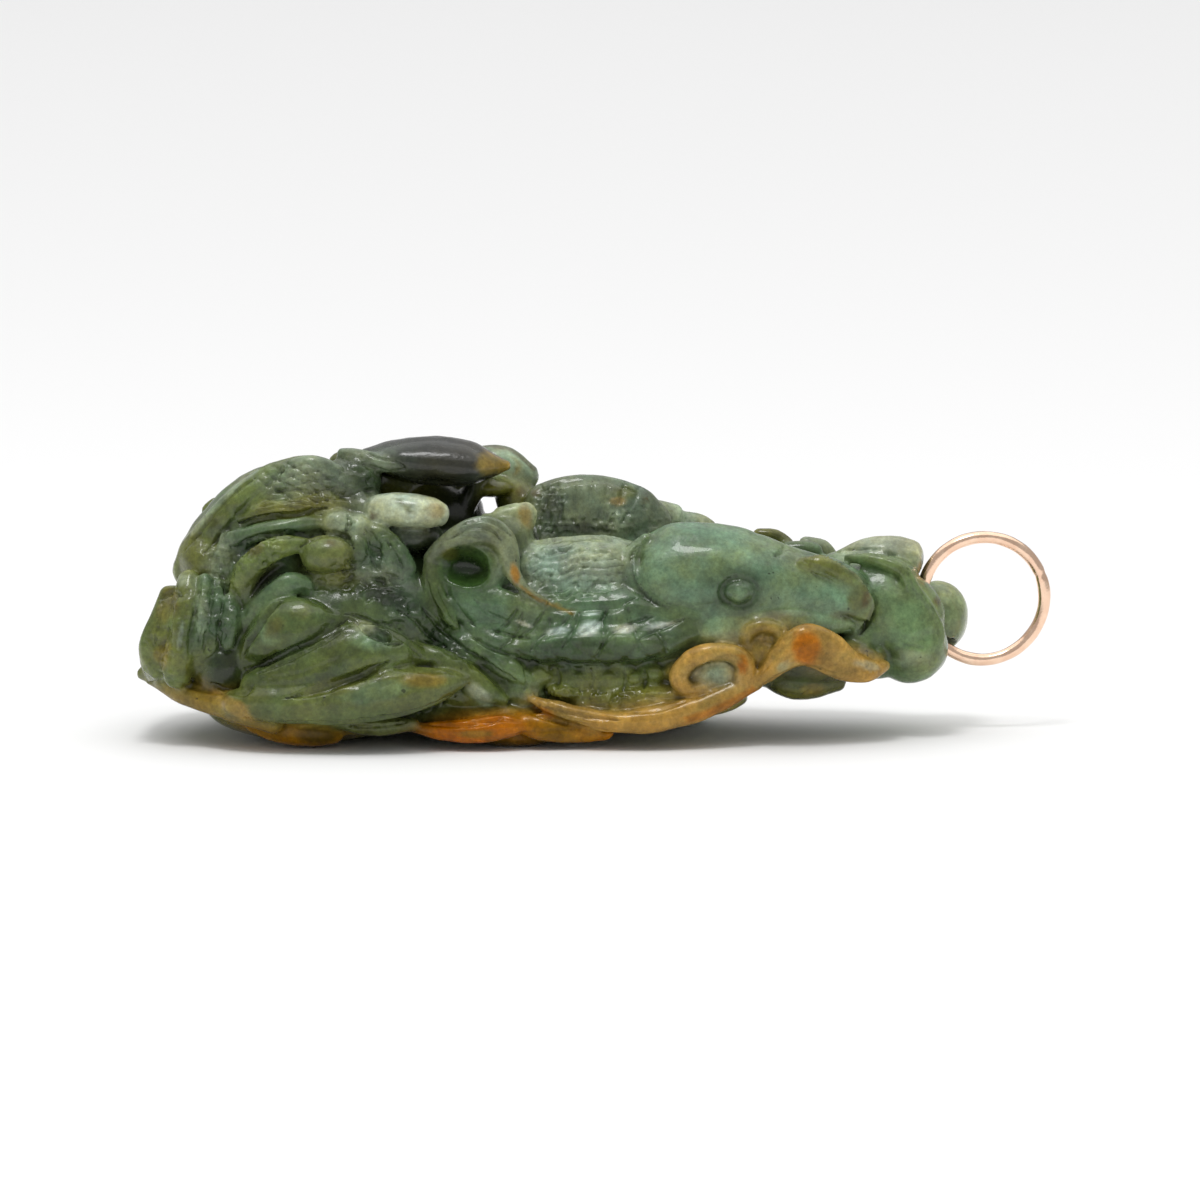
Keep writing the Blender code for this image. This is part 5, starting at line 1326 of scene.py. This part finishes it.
    # painted highlights on the lozenges of the flank's scales; painted shade on the underside of the flank
    # and on the ground below the leaves
    for x, h, rx, rh, roll in (
        (-3.3, 10.0, 1.3, 0.4, 8), (-0.5, 10.2, 1.2, 0.7, 20), (2.4, 10.2, 1.3, 0.55, 12),
        (5.6, 10.5, 1.9, 0.25, 12), (-0.2, 11.6, 0.6, 0.25, 20), (-6.0, 10.6, 0.9, 0.2, -20),
    ):
        patch("painted_highlight", x, h, rx, rh, roll=roll, much=0.8)
    patch("deep", -2.0, 8.0, 8.4, 1.7, much=0.8)
    patch("shade", -31.4, 6.8, 1.4, 1.6, much=0.5)
    # painted highlights on the edges and painted shade in the hollows and undersides, over the whole skin
    coat.shade()


def node(nodes, kind, **values):
    """A shader node with its settings."""
    made = nodes.new(kind)
    for key, value in values.items():
        setattr(made, key, value)
    return made


def shader(name):
    """A material with nodes, and its Principled shader."""
    mat = bpy.data.materials.new(name)
    mat.use_nodes = True
    return mat, mat.node_tree.nodes, mat.node_tree.links, mat.node_tree.nodes["Principled BSDF"]


def noise(nodes, links, coordinates, scale, detail, rough=0.5, kind="FBM"):
    """Fractal noise over the object, scale in cycles a metre."""
    made = node(nodes, "ShaderNodeTexNoise")
    made.inputs["Scale"].default_value = scale
    made.inputs["Detail"].default_value = detail
    made.inputs["Roughness"].default_value = rough
    links.new(coordinates, made.inputs["Vector"])
    return made


def ramp(nodes, links, value, *stops):
    """A colour ramp of (place, grey or colour) stops over a value."""
    made = node(nodes, "ShaderNodeValToRGB")
    bar = made.color_ramp
    while len(bar.elements) < len(stops):
        bar.elements.new(0.5)
    for element, (place, colour) in zip(bar.elements, stops):
        element.position = place
        element.color = (*colour, 1) if isinstance(colour, tuple) else (colour, colour, colour, 1)
    links.new(value, made.inputs["Fac"])
    return made.outputs["Color"]


def blend(nodes, links, mode, factor, one, two):
    """Mixes two colours."""
    made = node(nodes, "ShaderNodeMix", data_type="RGBA", blend_type=mode)
    for socket, value in ((0, factor), (6, one), (7, two)):
        if isinstance(value, (float, int)):
            made.inputs[socket].default_value = value
        elif isinstance(value, tuple):
            made.inputs[socket].default_value = (*value, 1)
        else:
            links.new(value, made.inputs[socket])
    return made.outputs[2]


def jade():
    """Waxed jade: its painted tints, with their painted highlights and shade, cloudy mottling, pale veins,
    dark specks, and bright specks in the hollows that are painted glints.
    """
    mat, nodes, links, skin = shader("polished_jade")
    where = node(nodes, "ShaderNodeTexCoord").outputs["Object"]
    tint = node(nodes, "ShaderNodeAttribute", attribute_name="tint").outputs["Color"]
    glint_fleck = node(nodes, "ShaderNodeAttribute", attribute_name="glint_fleck").outputs["Fac"]
    glow = node(nodes, "ShaderNodeAttribute", attribute_name="glow").outputs["Fac"]
    cloud = noise(nodes, links, where, 170, 7, 0.6).outputs["Fac"]
    mottle = noise(nodes, links, where, 700, 6, 0.65).outputs["Fac"]
    grain = noise(nodes, links, where, 2600, 4, 0.65).outputs["Fac"]
    colour = tint
    for pattern, much, dark, pale in (
        (cloud, 1.0, 0.66, 1.26), (mottle, 1.0, 0.7, 1.3), (grain, 0.7, 0.7, 1.3),
    ):
        shades = ramp(nodes, links, pattern, (0.32, dark), (0.68, pale))
        colour = blend(nodes, links, "MULTIPLY", much, colour, shades)
    hue = noise(nodes, links, where, 210, 6, 0.62).outputs["Fac"]
    warm = ramp(nodes, links, hue, (0.5, 0.0), (0.64, 0.8))
    colour = blend(nodes, links, "MULTIPLY", warm, colour, (1.1, 0.98, 0.7))
    cool = ramp(nodes, links, hue, (0.38, 0.75), (0.5, 0.0))
    colour = blend(nodes, links, "MULTIPLY", cool, colour, (0.86, 1.02, 1.13))
    speck = noise(nodes, links, where, 1500, 2, 0.5).outputs["Fac"]
    dark = ramp(nodes, links, speck, (0.22, 0.7), (0.27, 0.0))
    colour = blend(nodes, links, "MIX", dark, colour, (0.012, 0.012, 0.006))
    # bright specks over the pits and valleys: painted glints of the rough carved ground
    glint_noise = noise(nodes, links, where, 3400, 3, 0.7).outputs["Fac"]
    painted_highlight = ramp(nodes, links, glint_noise, (0.66, 0.0), (0.74, 1.0))
    painted_highlight = blend(nodes, links, "MULTIPLY", 1.0, painted_highlight, glint_fleck)
    colour = blend(nodes, links, "MIX", painted_highlight, colour, (0.3, 0.34, 0.26))
    links.new(colour, skin.inputs["Base Color"])
    links.new(ramp(nodes, links, mottle, (0.3, 0.13), (0.7, 0.3)), skin.inputs["Roughness"])
    skin.inputs["IOR"].default_value = 1.5
    skin.inputs["Specular IOR Level"].default_value = 0.28
    links.new(ramp(nodes, links, glow, (0.0, 0.12), (1.0, 0.3)), skin.inputs["Subsurface Weight"])
    glint = ramp(nodes, links, glow, (0.0, (1.0, 1.0, 1.0)), (1.0, (1.0, 0.62, 0.16)))
    links.new(glint, skin.inputs["Specular Tint"])
    skin.inputs["Subsurface Radius"].default_value = (1.0, 1.0, 0.5)
    skin.inputs["Subsurface Scale"].default_value = 0.0006
    skin.inputs["Coat Weight"].default_value = 0.3
    skin.inputs["Coat Roughness"].default_value = 0.04
    bump = node(nodes, "ShaderNodeBump")
    bump.inputs["Strength"].default_value = 0.5
    bump.inputs["Distance"].default_value = 0.00016
    links.new(mottle, bump.inputs["Height"])
    fine = node(nodes, "ShaderNodeBump")
    fine.inputs["Strength"].default_value = 0.4
    fine.inputs["Distance"].default_value = 0.00005
    links.new(grain, fine.inputs["Height"])
    links.new(bump.outputs["Normal"], fine.inputs["Normal"])
    links.new(fine.outputs["Normal"], skin.inputs["Normal"])
    return mat


def gold():
    """Rose gold, drawn and polished by hand, a little dull in patches."""
    mat, nodes, links, skin = shader("rose_gold_wire")
    where = node(nodes, "ShaderNodeTexCoord").outputs["Object"]
    wear = noise(nodes, links, where, 900, 5, 0.6).outputs["Fac"]
    scratch = noise(nodes, links, where, 4200, 3, 0.7).outputs["Fac"]
    colour = ramp(nodes, links, wear, (0.35, (0.86, 0.58, 0.42)), (0.7, (0.97, 0.72, 0.54)))
    links.new(colour, skin.inputs["Base Color"])
    skin.inputs["Metallic"].default_value = 1
    links.new(ramp(nodes, links, wear, (0.3, 0.1), (0.7, 0.24)), skin.inputs["Roughness"])
    bump = node(nodes, "ShaderNodeBump")
    bump.inputs["Strength"].default_value = 0.25
    bump.inputs["Distance"].default_value = 0.00005
    links.new(scratch, bump.inputs["Height"])
    links.new(bump.outputs["Normal"], skin.inputs["Normal"])
    return mat


def vertex_edges(mesh):
    """The mesh's edges as pairs of vertex numbers."""
    pairs = np.empty(len(mesh.edges) * 2, np.int32)
    mesh.edges.foreach_get("vertices", pairs)
    return pairs.reshape(-1, 2)


def ring_cutter():
    """The way for the ring's wire through the lobe, as a lump of the cut."""
    turn = Matrix.Rotation(math.radians(RING_TURN), 3, "Z")
    middle = ring_place()
    bm = bmesh.new()
    loops = []
    for k in range(PASSAGE_STEPS):
        a = math.tau * k / PASSAGE_STEPS
        loop = []
        for j in range(PASSAGE_SIDES):
            b = math.tau * j / PASSAGE_SIDES
            r = RING_MIDLINE + PASSAGE * math.cos(b)
            spot = Vector((r * math.cos(a), PASSAGE * math.sin(b), r * math.sin(a)))
            loop.append(bm.verts.new(middle + turn @ spot * UNIT))
        loops.append(loop)
    for k in range(PASSAGE_STEPS):
        one, two = loops[k], loops[(k + 1) % PASSAGE_STEPS]
        for j in range(PASSAGE_SIDES):
            n = (j + 1) % PASSAGE_SIDES
            bm.faces.new((one[j], two[j], two[n], one[n]))
    bmesh.ops.recalc_face_normals(bm, faces=bm.faces)
    keep(bm, cuts, "shade")


def stone():
    """The carving: lumps melted together, hollowed, cut with relief, thinned and painted."""
    core()
    fish_head()
    fish_body()
    tail_curl()
    strands()
    dark_leaf()
    end_lobes()
    waves_behind_snout()
    amber_ribbon()
    beads()
    lower_petals()
    pointed_leaves()
    left_block()
    buds()
    left_leaf()
    far_side()
    eyes()
    hollows()
    ring_cutter()
    body = fuse(joined("carved_jade", clay), 0)
    hollow = fuse(joined("hollow_cutter", cuts), 0)
    cut(body, hollow)
    fuse(body, 3)
    outer_skin(body)
    skin = Skin(body.data)
    cut_relief(skin)
    skin.settle()
    thin_out(body, TRIANGLES)
    flatten_foot(body.data)
    skin = Skin(body.data)
    coat = Coat(skin, vertex_edges(body.data))
    paint(coat)
    coat.store()
    body.data.shade_smooth()
    return body


def outer_skin(obj):
    """Leaves only the largest skin, so that no closed pocket is left inside."""
    bm = bmesh.new()
    bm.from_mesh(obj.data)
    unseen = set(bm.verts)
    shells = []
    while unseen:
        shell = {unseen.pop()}
        edge = set(shell)
        while edge:
            edge = {e.other_vert(v) for v in edge for e in v.link_edges} & unseen
            unseen -= edge
            shell |= edge
        shells.append(shell)
    shells.sort(key=len)
    for shell in shells[:-1]:
        bmesh.ops.delete(bm, geom=list(shell), context="VERTS")
    bm.to_mesh(obj.data)
    bm.free()


def thin_out(obj, triangles):
    """Brings the mesh down to a number of triangles."""
    mesh = obj.data
    mesh.calc_loop_triangles()
    thin = obj.modifiers.new("Thin", "DECIMATE")
    thin.ratio = min(1, triangles / len(mesh.loop_triangles))
    thin.use_collapse_triangulate = True
    settled(obj)


def flatten_foot(mesh):
    """Lets nothing reach below the floor."""
    flat = np.empty(len(mesh.vertices) * 3, np.float32)
    mesh.vertices.foreach_get("co", flat)
    flat[2::3] = np.maximum(flat[2::3], 0)
    mesh.vertices.foreach_set("co", flat)
    mesh.update()


def ring():
    """The gold ring: hammered a little out of round, with its solder seam."""
    middle = ring_place()
    turn = Matrix.Rotation(math.radians(RING_TURN), 3, "Z")
    bm = bmesh.new()
    loops = []
    for k in range(RING_STEPS):
        a = math.tau * k / RING_STEPS
        seam = math.exp(-(((a - RING_SEAM) / 0.05) ** 2))
        uneven = 0.965 + 0.02 * math.sin(7 * a + 1) + 0.012 * math.sin(17 * a)
        wire = RING_WIRE / 2 * uneven * (1 - 0.1 * seam)
        mid = RING_MIDLINE + 0.02 * math.sin(3 * a) - 0.02
        loop = []
        for j in range(WIRE_STEPS):
            b = math.tau * j / WIRE_STEPS
            dent = 1 - 0.03 * max(0, math.sin(5 * a + 3 * b)) ** 2
            r = mid + wire * dent * math.cos(b)
            spot = Vector((r * math.cos(a), wire * dent * math.sin(b), r * math.sin(a)))
            loop.append(bm.verts.new(middle + turn @ spot * UNIT))
        loops.append(loop)
    for k in range(RING_STEPS):
        one, two = loops[k], loops[(k + 1) % RING_STEPS]
        for j in range(WIRE_STEPS):
            n = (j + 1) % WIRE_STEPS
            bm.faces.new((one[j], one[n], two[n], two[j]))
    bmesh.ops.recalc_face_normals(bm, faces=bm.faces)
    mesh = bpy.data.meshes.new("hanging_ring")
    bm.to_mesh(mesh)
    bm.free()
    mesh.shade_smooth()
    obj = bpy.data.objects.new("hanging_ring", mesh)
    bpy.context.scene.collection.objects.link(obj)
    return obj


def floor():
    """A plain pale floor."""
    bpy.ops.mesh.primitive_plane_add(size=6)
    obj = bpy.context.object
    obj.name = "floor"
    mat, nodes, links, skin = shader("pale_floor")
    skin.inputs["Base Color"].default_value = (0.93, 0.93, 0.93, 1)
    skin.inputs["Roughness"].default_value = 0.9
    skin.inputs["Specular IOR Level"].default_value = 0.1
    obj.data.materials.append(mat)
    return obj


def lamp(name, place, size, watts, target):
    """A soft round light that points at the target."""
    light = bpy.data.lights.new(name, "AREA")
    light.shape = "DISK"
    light.size = size
    light.energy = watts
    obj = bpy.data.objects.new(name, light)
    obj.location = place
    obj.rotation_euler = (Vector(target) - Vector(place)).to_track_quat("-Z", "Y").to_euler()
    bpy.context.scene.collection.objects.link(obj)


def studio():
    """White surroundings and soft lights."""
    world = bpy.data.worlds.new("studio")
    world.use_nodes = True
    ground = world.node_tree.nodes["Background"]
    ground.inputs["Color"].default_value = (1, 1, 1, 1)
    ground.inputs["Strength"].default_value = WORLD_LIGHT
    bpy.context.scene.world = world
    lamp("sky_light", (0, 0.3, 1.6), 3.3, 24, (0, 0.3, 0))
    lamp("key_light", (-0.04, -0.14, 0.42), 0.12, 0.5, (0, 0, 0.01))


def camera(shift):
    """The photograph's view, from a little above."""
    tilt = math.radians(SIGHT_TILT)
    aim = Vector(CAMERA_AIM) * UNIT + Vector((shift.x, shift.y, 0))
    data = bpy.data.cameras.new("photo_view")
    data.lens = 250
    data.sensor_width = 36
    data.clip_start = 0.01
    obj = bpy.data.objects.new("photo_view", data)
    back = Vector((0, -math.cos(tilt), math.sin(tilt)))
    obj.location = aim + back * PICTURE_WIDTH * UNIT * data.lens / data.sensor_width
    obj.rotation_euler = (math.radians(90) - tilt, 0, 0)
    bpy.context.scene.collection.objects.link(obj)
    bpy.context.scene.camera = obj


def main():
    low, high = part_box("gold_ring")
    shift = (Vector(low) + Vector(high)) / 2 - ring_place()
    carving = stone()
    hoop = ring()
    for piece, mat, cad_node, slot in (
        (carving, jade(), "jade_carving", "jade"),
        (hoop, gold(), "gold_ring", "rose_gold"),
    ):
        piece.data.transform(Matrix.Translation(shift))
        piece.data.materials.clear()
        piece.data.materials.append(mat)
        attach(piece, "root")
        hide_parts(cad_node)
    floor()
    studio()
    camera(shift)
    bpy.context.scene.view_settings.view_transform = "Standard"


main()
